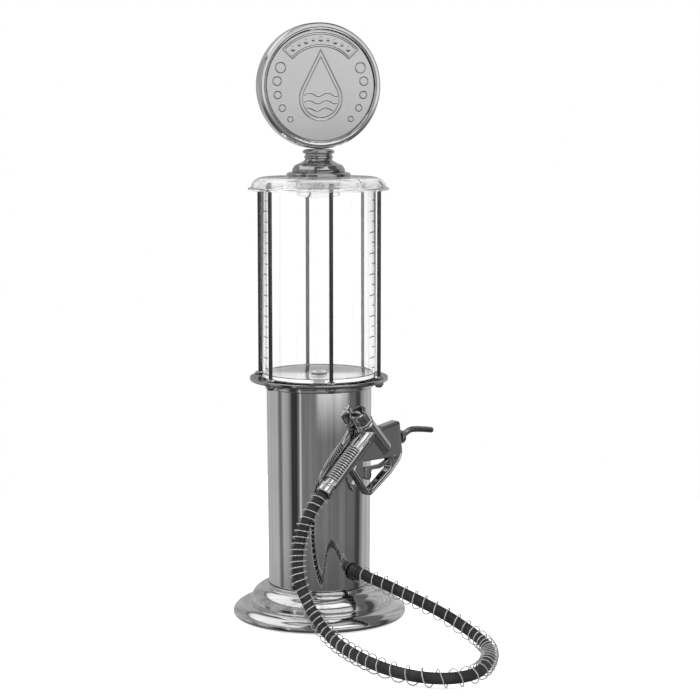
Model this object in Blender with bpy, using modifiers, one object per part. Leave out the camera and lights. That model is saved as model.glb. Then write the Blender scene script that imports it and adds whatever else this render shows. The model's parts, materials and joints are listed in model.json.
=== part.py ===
"""Tabletop drink dispenser shaped like an old fuel pump.

A turned chrome base and column carry a clear tank inside a cage of six rods.  A clear cap
holds the rods at the top, and a stopper with a round sign on it closes the filling hole.  A hose
leads from the foot of the column to a trigger nozzle that hangs on the front of the column.

Frame: origin at the centre of the foot's underside, +Z up, front (nozzle side) towards -Y.
"""
import math

import bmesh
import bpy
from mathutils import Matrix, Vector

MM = 0.001
GAP = 0.3

# Base and column (millimetres; angles in degrees)
FOOT_PAD_RADIUS = 66.0
FOOT_PAD_HEIGHT = 2.0
BASE_PLATE_RADIUS = 69.0
BASE_PLATE_TOP = 4.3
BASE_RADIUS = 73.0
BASE_STEP_RADIUS = 58.0
BASE_TOP_RADIUS = 45.0
BASE_TOP_Z = 27.9
BASE_WALL = 1.2
BASE_HOLE_RADIUS = 33.0
BASE_SCREW_CIRCLE = 38.0
BASE_SCREW_RADIUS = 1.5
WEIGHT_RADIUS = 40.0
WEIGHT_BORE = 8.0
WEIGHT_TOP = 20.0
COLUMN_FOOT_RADIUS = 42.8
COLUMN_HEAD_RADIUS = 44.0
COLUMN_WALL = 1.5
FOOT_FLANGE_RADIUS = 34.0
COLUMN_FOOT_Z = BASE_TOP_Z + GAP
COLUMN_HEAD_Z = 199.7
COLLAR_RADIUS = 45.8
COLLAR_HEIGHT = 5.2

# Flange, cage and tank
FLANGE_RADIUS = 58.0
FLANGE_Z = 200.0
FLANGE_TOP_Z = 203.2
SEAT_RADIUS = 47.9
SEAT_DEPTH = 1.2
ROD_CIRCLE = 52.5
ROD_RADIUS = 1.65
ROD_HOLE_RADIUS = 2.0
ROD_FOOT_Z = 197.5
ROD_HEAD_Z = 365.5
ROD_ANGLES = [-30 + 60 * step for step in range(6)]
WASHER_RADIUS = 4.4
TANK_RADIUS = 47.5
TANK_WALL = 2.0
TANK_FLOOR = 3.0
TANK_FOOT_Z = 203.3
TANK_HEAD_Z = 362.0
OUTLET_RADIUS = 5.0

# Cap, stopper and sign
CAP_RADIUS = 56.0
CAP_LIP_RADIUS = 58.6
CAP_LIP_Z = 359.0
CAP_TOP_Z = 369.5
CAP_WALL = 2.0
FILLER_RADIUS = 20.0
PLUG_RADIUS = 18.0
PEDESTAL_Z = CAP_TOP_Z + GAP
PEDESTAL_TOP_Z = 392.4
STUD_RADIUS = 2.4
STUD_HOLE_RADIUS = 2.8
SIGN_Z = 444.3
SIGN_RADIUS = 51.5
SIGN_DEPTH = 17.0
SIGN_TURN = -26.0
FACE_RADIUS = 45.8

# Hose and glands
GLAND_Z = 43.0
GLAND_END = 50.0
GLAND_RADIUS = 5.8
HOSE_DIAMETER = 9.0
COIL_RADIUS = 7.3
COIL_WIRE = 0.9
COIL_PITCH = 8.0

# Nozzle: its middle plane is parallel to XZ and its grip rises towards +X
NOZZLE_ORIGIN = (10.6, -54.0, 158.0)
GRIP_ANGLE = 41.7
GRIP_OFFSET = 4.2
GRIP_RADIUS = 6.9
GRIP_CORE_RADIUS = 5.4
GRIP_PARTING = -1.9
GRIP_FOOT = -58.9
SLEEVE_FOOT = -54.0
SLEEVE_HEAD = -21.0
SLEEVE_RIBS = 14
BODY_THICKNESS = 9.0
BARREL_RADIUS = 7.0
BARREL_OFFSET = 2.0
BARREL_FOOT = -20.0
BARREL_HEAD = 12.5
VALVE_OFFSET = -0.5
VALVE_CAP_RADIUS = 7.6
TRIGGER_PIVOT = (23.0, -19.5)
TRIGGER_THICKNESS = 4.4
SPOUT_RADIUS = 2.5

# Corners (across, up, fillet) of the cast body and of its finger opening, and the bends of the spout
BODY_CORNERS = [
    (-24.5, -26.0, 0.0), (-20.0, -16.0, 0.0), (-4.5, 2.3, 3.0), (8.0, 7.0, 30.0),
    (28.0, 10.4, 2.8), (31.6, -20.5, 12.0), (17.5, -34.5, 60.0), (-6.0, -50.5, 5.0),
]
WINDOW_CORNERS = [(-13.0, -19.8, 1.0), (-13.0, -36.0, 6.0), (-6.5, -45.8, 6.0), (17.8, -28.4, 4.0), (17.2, -19.8, 2.5)]
SPOUT_BENDS = [(31.2, -4.6), (36.5, -2.8), (42.0, -0.3), (48.0, 0.2), (58.5, -1.0), (69.0, -2.8)]

# Hanger on the column, behind the nozzle
HANGER_X = 32.0
HANGER_WIDTH = 9.0
HANGER_SCREW_Z = 149.0
HANGER_LIP_TOP = 159.2

# Hand-picked points of the hose's centre line, from the gland to the nozzle
HOSE_ROUTE = [
    (0.0, -50.5, 43.0), (0.0, -56.5, 42.9), (-0.6, -63.0, 41.8), (1.0, -74.9, 39.8),
    (3.2, -87.5, 37.0), (6.3, -99.4, 33.5), (9.6, -111.0, 30.0), (13.2, -123.0, 26.0),
    (17.0, -136.5, 21.0), (19.6, -151.0, 15.5), (18.8, -167.0, 10.8), (13.0, -183.5, 8.3),
    (0.5, -201.0, 8.0), (-17.5, -217.5, 8.0), (-37.0, -230.5, 8.0), (-55.0, -236.5, 8.0),
    (-72.0, -233.5, 8.0), (-84.5, -221.5, 8.0), (-91.0, -203.0, 8.0), (-92.0, -179.0, 8.0),
    (-87.5, -152.0, 8.0), (-80.0, -125.0, 8.0), (-73.5, -103.0, 9.5), (-70.5, -86.5, 15.0),
    (-70.0, -75.0, 23.5), (-71.2, -66.8, 34.0), (-72.6, -61.0, 46.0), (-72.4, -57.0, 58.5),
    (-70.0, -54.5, 71.0), (-65.5, -53.2, 84.0), (-59.8, -53.6, 97.2), (-51.9, -54.0, 107.8),
    (-43.1, -54.0, 115.8),
]


def make_collection(name):
    """Return a new collection linked to the scene."""
    collection = bpy.data.collections.new(name)
    bpy.context.scene.collection.children.link(collection)
    return collection


def make_material(name, colour, roughness, metallic):
    """Return a Principled material with one plain colour."""
    material = bpy.data.materials.new(name)
    material.use_nodes = True
    shader = material.node_tree.nodes["Principled BSDF"]
    shader.inputs["Base Color"].default_value = (*colour, 1.0)
    shader.inputs["Roughness"].default_value = roughness
    shader.inputs["Metallic"].default_value = metallic
    return material


def add_object(name, data, material, collection):
    """Link a new object that carries the given mesh or curve."""
    item = bpy.data.objects.new(name, data)
    collection.objects.link(item)
    if material:
        data.materials.append(material)
    return item


def place(item, location, tilt=(0.0, 0.0, 0.0)):
    """Put an object at a place in millimetres, turned by angles in degrees."""
    item.location = Vector(location) * MM
    item.rotation_euler = [math.radians(angle) for angle in tilt]
    return item


def arc(centre, radii, start, end, steps):
    """Points on an elliptical arc, angles in degrees from the first axis."""
    points = []
    for step in range(steps + 1):
        angle = math.radians(start + (end - start) * step / steps)
        points.append((centre[0] + radii[0] * math.cos(angle), centre[1] + radii[1] * math.sin(angle)))
    return points


def filleted(corners, steps):
    """Points of a closed outline whose corners, given as (across, up, fillet), are rounded."""
    points = []
    for index, (across, up, fillet) in enumerate(corners):
        corner = Vector((across, up))
        before = Vector(corners[index - 1][:2]) - corner
        after = Vector(corners[(index + 1) % len(corners)][:2]) - corner
        reach = fillet / math.tan(before.angle(after) / 2)
        reach = min(reach, 0.49 * before.length, 0.49 * after.length)
        start = corner + before.normalized() * reach
        end = corner + after.normalized() * reach
        for step in range(steps + 1 if fillet else 1):
            share = step / steps
            spot = start.lerp(corner, share).lerp(corner.lerp(end, share), share)
            points.append((spot.x, spot.y))
    return points


def turned(name, profile, segments, material, collection, closed=False):
    """Turn a (radius, height) profile, given down its outer side, about the local Z axis."""
    mesh = bpy.data.meshes.new(name)
    edges = [(index, index + 1) for index in range(len(profile) - 1)]
    if closed:
        edges.append((len(profile) - 1, 0))
    mesh.from_pydata([(radius * MM, 0.0, height * MM) for radius, height in profile], edges, [])
    item = add_object(name, mesh, material, collection)
    screw = item.modifiers.new("Turn", "SCREW")
    screw.steps = segments
    screw.render_steps = segments
    screw.use_merge_vertices = True
    screw.merge_threshold = 0.00001
    return item


def ring(name, outer, inner, low, high, segments, material, collection):
    """A plain ring with a square section."""
    profile = [(inner, high), (outer, high), (outer, low), (inner, low)]
    return turned(name, profile, segments, material, collection, closed=True)


def hex_bore(radius):
    """Corner radius of a six-sided bore that clears a round bar."""
    return radius / math.cos(math.radians(30))


def cutter_cylinder(name, radius, low, high, cutters, segments=24):
    """A closed cylinder along local Z, kept out of the model."""
    mesh = bpy.data.meshes.new(name)
    shape = bmesh.new()
    middle = Matrix.Translation((0.0, 0.0, (low + high) / 2 * MM))
    bmesh.ops.create_cone(
        shape, cap_ends=True, segments=segments, radius1=radius * MM, radius2=radius * MM,
        depth=(high - low) * MM, matrix=middle)
    shape.to_mesh(mesh)
    shape.free()
    return hide(add_object(name, mesh, None, cutters))


def cutter_box(name, low, high, cutters):
    """A closed box between two corners, kept out of the model."""
    mesh = bpy.data.meshes.new(name)
    size = [(top - bottom) * MM for bottom, top in zip(low, high)]
    middle = [(top + bottom) / 2 * MM for bottom, top in zip(low, high)]
    shape = bmesh.new()
    bmesh.ops.create_cube(shape, size=1.0, matrix=Matrix.Translation(middle) @ Matrix.Diagonal((*size, 1.0)))
    shape.to_mesh(mesh)
    shape.free()
    return hide(add_object(name, mesh, None, cutters))


def hide(item):
    """Mark an object as a construction aid."""
    item.hide_render = True
    item.display_type = "WIRE"
    return item


def combine(item, other, operation):
    """Join or cut an object with another one."""
    modifier = item.modifiers.new(other.name, "BOOLEAN")
    modifier.operation = operation
    modifier.object = other
    modifier.solver = "EXACT"


def cut(item, *cutters):
    """Cut several shapes out of an object."""
    for cutter in cutters:
        combine(item, cutter, "DIFFERENCE")


def curve_to_mesh(item, collection):
    """Replace a curve object by a closed mesh with the same name and place."""
    bpy.context.view_layer.update()
    evaluated = item.evaluated_get(bpy.context.evaluated_depsgraph_get())
    mesh = bpy.data.meshes.new_from_object(evaluated)
    shape = bmesh.new()
    shape.from_mesh(mesh)
    bmesh.ops.remove_doubles(shape, verts=shape.verts, dist=0.000001)
    shape.to_mesh(mesh)
    shape.free()
    name = item.name
    world = item.matrix_world.copy()
    bpy.data.objects.remove(item)
    mesh.name = name
    result = bpy.data.objects.new(name, mesh)
    result.matrix_world = world
    collection.objects.link(result)
    return result


def plate(name, outlines, thickness, material, collection):
    """A flat plate in the XZ plane from closed (x, z) outlines; inner outlines are holes."""
    curve = bpy.data.curves.new(name, "CURVE")
    curve.dimensions = "2D"
    curve.fill_mode = "BOTH"
    curve.extrude = thickness / 2 * MM
    for outline in outlines:
        spline = curve.splines.new("POLY")
        spline.points.add(len(outline) - 1)
        for point, (across, up) in zip(spline.points, outline):
            point.co = (across * MM, up * MM, 0.0, 1.0)
        spline.use_cyclic_u = True
    item = add_object(name, curve, material, collection)
    item.rotation_euler = (math.radians(90), 0.0, 0.0)
    return curve_to_mesh(item, collection)


def tube(name, points, radius, material, collection, resolution=2):
    """A round bar along points in millimetres, with filled ends."""
    curve = bpy.data.curves.new(name, "CURVE")
    curve.dimensions = "3D"
    curve.bevel_depth = radius * MM
    curve.bevel_resolution = resolution
    curve.render_resolution_u = 0
    curve.use_fill_caps = True
    spline = curve.splines.new("POLY")
    spline.points.add(len(points) - 1)
    for point, place_mm in zip(spline.points, points):
        point.co = (*(Vector(place_mm) * MM), 1.0)
    return add_object(name, curve, material, collection)


def smooth_route(points, spacing):
    """Points at an even spacing along a Catmull-Rom curve through the given points."""
    knots = [Vector(point) for point in points]
    knots = [knots[0] * 2 - knots[1]] + knots + [knots[-1] * 2 - knots[-2]]
    dense = []
    samples = 20
    for index in range(1, len(knots) - 2):
        before, start, end, after = knots[index - 1:index + 3]
        for step in range(samples):
            t = step / samples
            dense.append(0.5 * (
                2 * start + (end - before) * t + (2 * before - 5 * start + 4 * end - after) * t ** 2
                + (3 * start - before - 3 * end + after) * t ** 3))
    dense.append(knots[-2])
    lengths = [0.0]
    for first, second in zip(dense, dense[1:]):
        lengths.append(lengths[-1] + (second - first).length)
    count = max(2, round(lengths[-1] / spacing))
    route = []
    index = 0
    for step in range(count + 1):
        target = lengths[-1] * step / count
        while index < len(dense) - 2 and lengths[index + 1] < target:
            index += 1
        share = (target - lengths[index]) / (lengths[index + 1] - lengths[index])
        route.append(dense[index].lerp(dense[index + 1], share))
    return route


def helix_along(points, radius, pitch, per_turn, spacing):
    """Points of a helix wound round a route whose points lie at an even spacing."""
    direction = (points[1] - points[0]).normalized()
    side = direction.orthogonal().normalized()
    helix = []
    step_length = pitch / per_turn
    count = int((len(points) - 2) * spacing / step_length)
    previous = 0
    for step in range(count + 1):
        position = step * step_length / spacing
        index = int(position)
        while previous < index:
            previous += 1
            side = side - side.project(points[previous + 1] - points[previous])
            side.normalize()
        direction = (points[index + 1] - points[index]).normalized()
        centre = points[index].lerp(points[index + 1], position - index)
        angle = 2 * math.pi * step / per_turn
        across = side - side.project(direction)
        across.normalize()
        helix.append(centre + radius * (
            across * math.cos(angle) + direction.cross(across) * math.sin(angle)))
    return helix


def polar(radius, degrees, height):
    """A place at an angle counted from the front (-Y) towards +X."""
    angle = math.radians(degrees)
    return (radius * math.sin(angle), -radius * math.cos(angle), height)


def grip_point(along, across, depth=0.0):
    """World place from distances along and across the grip."""
    angle = math.radians(GRIP_ANGLE)
    x = along * math.cos(angle) - across * math.sin(angle)
    z = along * math.sin(angle) + across * math.cos(angle)
    return (NOZZLE_ORIGIN[0] + x, NOZZLE_ORIGIN[1] + depth, NOZZLE_ORIGIN[2] + z)


def along_grip(item, along=0.0, across=GRIP_OFFSET):
    """Lay a turned piece with its Z axis along the grip."""
    return place(item, grip_point(along, across), (0.0, 90.0 - GRIP_ANGLE, 0.0))


def along_barrel(item, along, across=0.0):
    """Stand a turned piece with its Z axis along the valve barrel."""
    return place(item, grip_point(along, across), (0.0, -GRIP_ANGLE, 0.0))


def build_base(model, cutters, looks):
    """Foot, closing plate, weight, spun shell and its three screws."""
    pad = [(0, FOOT_PAD_HEIGHT), (FOOT_PAD_RADIUS, FOOT_PAD_HEIGHT), (FOOT_PAD_RADIUS, 0), (0, 0)]
    turned("foot_pad", pad, 48, looks["rubber"], model)
    plate_low = FOOT_PAD_HEIGHT + GAP
    closing = [(0, BASE_PLATE_TOP), (BASE_PLATE_RADIUS, BASE_PLATE_TOP), (BASE_PLATE_RADIUS, plate_low),
               (0, plate_low)]
    turned("base_plate", closing, 48, looks["steel"], model)
    weight_low = BASE_PLATE_TOP + GAP
    ring("base_weight", WEIGHT_RADIUS, WEIGHT_BORE, weight_low, WEIGHT_TOP, 40, looks["iron"], model)
    outline = [(BASE_HOLE_RADIUS, BASE_TOP_Z), (BASE_TOP_RADIUS - 0.8, BASE_TOP_Z),
               (BASE_TOP_RADIUS, BASE_TOP_Z - 0.8)]
    outline += arc((BASE_TOP_RADIUS, 12.5), (BASE_STEP_RADIUS - BASE_TOP_RADIUS, 13.5), 84, 0, 4)
    outline += arc((BASE_STEP_RADIUS, 3.5), (BASE_RADIUS - BASE_STEP_RADIUS, 8.0), 86, 0, 4)
    outline += [(BASE_RADIUS - 0.6, 1.6), (BASE_RADIUS - 2.0, 0.8)]
    shell = turned("base_shell", outline, 36, looks["chrome"], model)
    wall = shell.modifiers.new("Wall", "SOLIDIFY")
    wall.thickness = BASE_WALL * MM
    wall.offset = -1.0
    for index in range(3):
        spot = polar(BASE_SCREW_CIRCLE, 90 + 120 * index, 0.0)
        bore = BASE_SCREW_RADIUS + 0.4
        hole = cutter_cylinder(f"cut_base_screw_{index + 1}", bore, 20.0, 32.0, cutters, 12)
        cut(shell, place(hole, spot))
        screw = [(0, 34.0), (BASE_SCREW_RADIUS, 34.0), (BASE_SCREW_RADIUS, 26.3), (3.2, 26.3), (3.2, 24.2),
                 (2.4, 23.6), (0, 23.6)]
        place(turned(f"base_screw_{index + 1}", screw, 16, looks["steel"], model), spot)


def build_column(model, cutters, looks):
    """Drawn column with its turned-in foot, and the collar round its head."""
    def wall_radius(height):
        share = (height - COLUMN_FOOT_Z) / (COLUMN_HEAD_Z - COLUMN_FOOT_Z)
        return COLUMN_FOOT_RADIUS + (COLUMN_HEAD_RADIUS - COLUMN_FOOT_RADIUS) * share

    foot_top = COLUMN_FOOT_Z + COLUMN_WALL
    profile = [
        (COLUMN_HEAD_RADIUS - COLUMN_WALL, COLUMN_HEAD_Z), (COLUMN_HEAD_RADIUS, COLUMN_HEAD_Z),
        (COLUMN_FOOT_RADIUS, COLUMN_FOOT_Z), (FOOT_FLANGE_RADIUS, COLUMN_FOOT_Z),
        (FOOT_FLANGE_RADIUS, foot_top),
        (wall_radius(foot_top) - COLUMN_WALL, foot_top)]
    column = turned("column_tube", profile, 48, looks["chrome"], model, closed=True)
    gland_hole = cutter_cylinder("cut_gland_hole", 6.2, 30.0, 50.0, cutters)
    place(gland_hole, (0.0, 0.0, GLAND_Z), (90.0, 0.0, 0.0))
    screw_hole = cutter_cylinder("cut_hanger_hole", 1.9, 15.0, 50.0, cutters, 12)
    place(screw_hole, (HANGER_X, 0.0, HANGER_SCREW_Z), (90.0, 0.0, 0.0))
    cut(column, gland_hole, screw_hole)
    for index in range(3):
        cut(column, bpy.data.objects[f"cut_base_screw_{index + 1}"])
    collar_low = COLUMN_HEAD_Z - COLLAR_HEIGHT
    inner = COLUMN_HEAD_RADIUS + GAP
    collar = [(inner, COLUMN_HEAD_Z), (COLLAR_RADIUS, COLUMN_HEAD_Z), (COLLAR_RADIUS, collar_low + 1.0),
              (COLLAR_RADIUS - 0.8, collar_low), (inner, collar_low)]
    turned("column_collar", collar, 48, looks["chrome"], model, closed=True)


def build_flange(model, cutters, looks):
    """Plate that carries the tank and the rods."""
    edge = arc((FLANGE_RADIUS - 1.6, (FLANGE_Z + FLANGE_TOP_Z) / 2), (1.6, 1.6), 90, -90, 4)
    seat = FLANGE_TOP_Z - SEAT_DEPTH
    profile = [(OUTLET_RADIUS + 0.5, seat), (SEAT_RADIUS, seat), (SEAT_RADIUS, FLANGE_TOP_Z)]
    profile += edge + [(OUTLET_RADIUS + 0.5, FLANGE_Z)]
    flange = turned("flange_plate", profile, 48, looks["chrome"], model, closed=True)
    for number, angle in enumerate(ROD_ANGLES, 1):
        hole = cutter_cylinder(f"cut_rod_{number}", ROD_HOLE_RADIUS, 190.0, 210.0, cutters, 12)
        cut(flange, place(hole, polar(ROD_CIRCLE, angle, 0.0)))


def build_cage(model, looks):
    """Six rods, each with a washer on the flange and a dome nut under it."""
    for number, angle in enumerate(ROD_ANGLES, 1):
        spot = polar(ROD_CIRCLE, angle, 0.0)
        rod = [(0, ROD_HEAD_Z), (ROD_RADIUS, ROD_HEAD_Z), (ROD_RADIUS, ROD_FOOT_Z), (0, ROD_FOOT_Z)]
        place(turned(f"cage_rod_{number}", rod, 16, looks["steel"], model), spot)
        washer_low = FLANGE_TOP_Z + GAP
        washer_top = washer_low + 1.8
        washer = ring(f"rod_washer_{number}", WASHER_RADIUS, ROD_HOLE_RADIUS, washer_low, washer_top, 12,
                      looks["chrome"], model)
        place(washer, spot)
        nut_top = FLANGE_Z - GAP
        nut = [(0, nut_top - 2.6), (ROD_HOLE_RADIUS + 0.1, nut_top - 2.6), (ROD_HOLE_RADIUS + 0.1, nut_top),
               (4.0, nut_top), (4.0, nut_top - 2.2), (2.8, nut_top - 3.6), (0, nut_top - 4.2)]
        place(turned(f"rod_nut_{number}", nut, 12, looks["chrome"], model), spot)


def build_tank(model, looks):
    """Clear tank, its gasket, the outlet through its floor and the pipe to the gland."""
    inner = TANK_RADIUS - TANK_WALL
    hole = OUTLET_RADIUS + 0.4
    floor = TANK_FOOT_Z + TANK_FLOOR
    tank = [(inner, TANK_HEAD_Z), (TANK_RADIUS, TANK_HEAD_Z), (TANK_RADIUS, TANK_FOOT_Z), (hole, TANK_FOOT_Z),
            (hole, floor), (inner, floor)]
    turned("tank", tank, 48, looks["acrylic"], model, closed=True)
    seat = FLANGE_TOP_Z - SEAT_DEPTH
    ring("tank_gasket", 46.5, 40.0, seat + GAP, TANK_FOOT_Z - GAP, 40, looks["rubber"], model)
    head = floor + GAP
    spigot = [(2.8, head + 2.0), (8.0, head + 2.0), (9.0, head), (OUTLET_RADIUS, head),
              (OUTLET_RADIUS, 192.0), (4.2, 190.0), (4.2, 185.0), (2.8, 185.0)]
    turned("outlet_spigot", spigot, 24, looks["clear_plastic"], model, closed=True)
    nut_bore = hex_bore(OUTLET_RADIUS + GAP)
    ring("outlet_nut", 10.0, nut_bore, 194.5, FLANGE_Z - GAP, 6, looks["steel"], model)
    pipe = smooth_route([(0, 0, 184.7), (0, 0, 165), (-3, 3, 135), (-4, 5, 100), (-2, 4, 72), (0, -4, 53),
                         (0, -15, 44.5), (0, -25, GLAND_Z), (0, -34, GLAND_Z)], 12.0)
    tube("drain_tube", pipe, 4.0, looks["silicone"], model)


def build_gland(model, looks):
    """Threaded outlet for the hose at the foot of the column, with its nut inside."""
    gland = [(2.6, GLAND_END), (4.6, GLAND_END), (GLAND_RADIUS, GLAND_END - 0.8), (GLAND_RADIUS, 46.2),
             (7.2, 45.4), (7.2, 43.6), (GLAND_RADIUS, 43.6), (GLAND_RADIUS, 36.2), (3.6, 35.8), (3.6, 34.3),
             (2.6, 34.3)]
    gland_item = turned("hose_gland", gland, 16, looks["black_plastic"], model, closed=True)
    place(gland_item, (0, 0, GLAND_Z), (90, 0, 0))
    nut = ring("gland_nut", 9.6, hex_bore(GLAND_RADIUS + GAP), 36.4, 39.4, 6, looks["steel"], model)
    place(nut, (0, 0, GLAND_Z), (90, 0, 0))


def build_cap(model, cutters, looks):
    """Clear cap with six rod sockets under its top."""
    shoulder = 6.0
    outer = [(FILLER_RADIUS, CAP_TOP_Z)]
    outer += arc((CAP_RADIUS - shoulder, CAP_TOP_Z - shoulder), (shoulder, shoulder), 90, 0, 4)
    outer += [(CAP_RADIUS, CAP_LIP_Z + 2.0), (CAP_LIP_RADIUS, CAP_LIP_Z + 1.0), (CAP_LIP_RADIUS, CAP_LIP_Z)]
    inner_radius = CAP_RADIUS - CAP_WALL
    inner = [(inner_radius, CAP_LIP_Z)]
    inner += arc((inner_radius - 4.0, CAP_TOP_Z - CAP_WALL - 4.0), (4.0, 4.0), 0, 90, 2)
    inner += [(FILLER_RADIUS, CAP_TOP_Z - CAP_WALL)]
    cap = turned("tank_cap", outer + inner, 40, looks["clear_plastic"], model, closed=True)
    for number, angle in enumerate(ROD_ANGLES, 1):
        spot = polar(ROD_CIRCLE, angle, 0.0)
        boss = cutter_cylinder(f"join_socket_{number}", 3.3, CAP_LIP_Z + 1.0, CAP_TOP_Z - 1.2, cutters, 16)
        combine(cap, place(boss, spot), "UNION")
        top = ROD_HEAD_Z + GAP
        bore = cutter_cylinder(f"cut_socket_{number}", ROD_HOLE_RADIUS, CAP_LIP_Z - 2.0, top, cutters, 12)
        cut(cap, place(bore, spot))


def build_lid(model, looks):
    """Stopper that closes the filling hole, and the pedestal that carries the sign."""
    plug_low = 352.0
    plug_wall = 2.2
    plug = [(STUD_HOLE_RADIUS, CAP_TOP_Z), (PLUG_RADIUS, CAP_TOP_Z), (PLUG_RADIUS, plug_low),
            (PLUG_RADIUS - plug_wall, plug_low), (PLUG_RADIUS - plug_wall, CAP_TOP_Z - 3.0),
            (STUD_HOLE_RADIUS, CAP_TOP_Z - 3.0)]
    turned("stopper_plug", plug, 40, looks["clear_plastic"], model, closed=True)
    seal_inner = PLUG_RADIUS + GAP
    ring("stopper_seal", FILLER_RADIUS - GAP, seal_inner, CAP_LIP_Z, 363.0, 40, looks["silicone"], model)
    base = PEDESTAL_Z
    pedestal = [(STUD_HOLE_RADIUS, PEDESTAL_TOP_Z), (11.4, PEDESTAL_TOP_Z), (12.9, PEDESTAL_TOP_Z - 1.2),
                (13.1, PEDESTAL_TOP_Z - 2.6), (11.6, PEDESTAL_TOP_Z - 4.6), (11.2, PEDESTAL_TOP_Z - 7.2),
                (12.4, PEDESTAL_TOP_Z - 9.4), (15.6, base + 11.2), (19.5, base + 8.6), (21.8, base + 6.0),
                (22.2, base + 4.0), (25.4, base + 3.6), (26.5, base + 2.6), (26.5, base),
                (STUD_HOLE_RADIUS, base)]
    turned("finial_pedestal", pedestal, 24, looks["chrome"], model, closed=True)
    stud = [(0, 399.5), (1.6, 399.5), (STUD_RADIUS, 398.7), (STUD_RADIUS, 366.2), (5.5, 366.2), (5.5, 362.4),
            (0, 362.4)]
    turned("finial_stud", stud, 16, looks["steel"], model)


def build_sign(model, cutters, looks):
    """Round two-sided sign: a rim and two pressed faces."""
    half = SIGN_DEPTH / 2
    rim = [(FACE_RADIUS + GAP, half - 0.6), (FACE_RADIUS + 2.6, half), (SIGN_RADIUS - 1.9, half - 1.6),
           (SIGN_RADIUS, half - 4.4), (SIGN_RADIUS, 4.4 - half), (SIGN_RADIUS - 1.9, 1.6 - half),
           (FACE_RADIUS + 2.6, -half), (FACE_RADIUS + GAP, 0.6 - half)]
    rim_item = turned("sign_rim", rim, 48, looks["chrome"], model, closed=True)
    place(rim_item, (0, 0, SIGN_Z), (90, 0, SIGN_TURN))
    bore = cutter_cylinder("cut_stud_bore", STUD_HOLE_RADIUS, 380.0, 402.0, cutters, 16)
    cut(rim_item, bore)
    face = [(0, half - 0.4), (FACE_RADIUS, half - 0.9), (FACE_RADIUS, half - 2.4), (0, half - 2.4)]
    for side, turn in (("front", SIGN_TURN), ("back", SIGN_TURN + 180)):
        face_item = turned(f"sign_face_{side}", face, 60, looks["embossed"], model)
        place(face_item, (0, 0, SIGN_Z), (90, 0, turn))


def build_nozzle_body(model, cutters, looks):
    """Cast body: flat plate with the finger opening, the grip core and the valve barrel."""
    outlines = [filleted(BODY_CORNERS, 4), filleted(WINDOW_CORNERS, 4)]
    body = plate("nozzle_body", outlines, BODY_THICKNESS, None, model)
    body.data.materials.append(looks["chrome"])
    body.location = Vector(NOZZLE_ORIGIN) * MM
    grip = cutter_cylinder("join_grip_core", GRIP_CORE_RADIUS, GRIP_FOOT, 1.0, cutters)
    combine(body, along_grip(grip), "UNION")
    spine = cutter_cylinder("join_grip_spine", GRIP_RADIUS, GRIP_FOOT + 0.4, -8.0, cutters, 32)
    along_grip(spine)
    spine_side = cutter_box("trim_grip_spine", (-8.0, -8.0, -70.0), (GRIP_PARTING + GAP, 8.0, 0.0), cutters)
    cut(spine, along_grip(spine_side))
    combine(body, spine, "UNION")
    barrel = cutter_cylinder("join_barrel", BARREL_RADIUS, BARREL_FOOT, BARREL_HEAD, cutters, 32)
    combine(body, along_barrel(barrel, BARREL_OFFSET), "UNION")
    chamber = cutter_cylinder("cut_valve_chamber", 4.0, -4.0, 20.0, cutters)
    bore = cutter_cylinder("cut_valve_bore", 1.6, -40.0, 0.0, cutters, 12)
    pivot_x, pivot_z = TRIGGER_PIVOT
    slot = cutter_box("cut_trigger_slot", (14.0, -2.6, -26.6), (27.0, 2.6, -14.6), cutters)
    slot.location = Vector(NOZZLE_ORIGIN) * MM
    pin_hole = cutter_cylinder("cut_pin_hole", 1.5, -10.0, 10.0, cutters, 16)
    place(pin_hole, (NOZZLE_ORIGIN[0] + pivot_x, NOZZLE_ORIGIN[1], NOZZLE_ORIGIN[2] + pivot_z), (90, 0, 0))
    cut(body, along_barrel(chamber, VALVE_OFFSET), along_barrel(bore, VALVE_OFFSET), slot, pin_hole)


def build_grip(model, cutters, looks):
    """Ribbed sleeve round the upper side of the grip, and the ferrule at its foot."""
    pitch = (SLEEVE_HEAD - SLEEVE_FOOT) / SLEEVE_RIBS
    inner = GRIP_CORE_RADIUS + GAP
    profile = [(inner, SLEEVE_HEAD)]
    for rib in range(SLEEVE_RIBS):
        top = SLEEVE_HEAD - rib * pitch
        profile += [(6.0, top), (6.8, top - 0.5 * pitch)]
    profile += [(6.0, SLEEVE_FOOT), (inner, SLEEVE_FOOT)]
    sleeve = turned("grip_sleeve", profile, 20, looks["chrome"], model, closed=True)
    along_grip(sleeve)
    side = cutter_box("cut_sleeve_side", (GRIP_PARTING, -9.0, -60.0), (9.0, 9.0, -15.0), cutters)
    cut(sleeve, along_grip(side))
    ferrule = [(2.6, -59.2), (6.6, -59.2), (6.9, -59.8), (6.9, -66.6), (6.2, -67.6), (2.6, -67.6)]
    along_grip(turned("hose_ferrule", ferrule, 28, looks["chrome"], model, closed=True))


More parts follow.
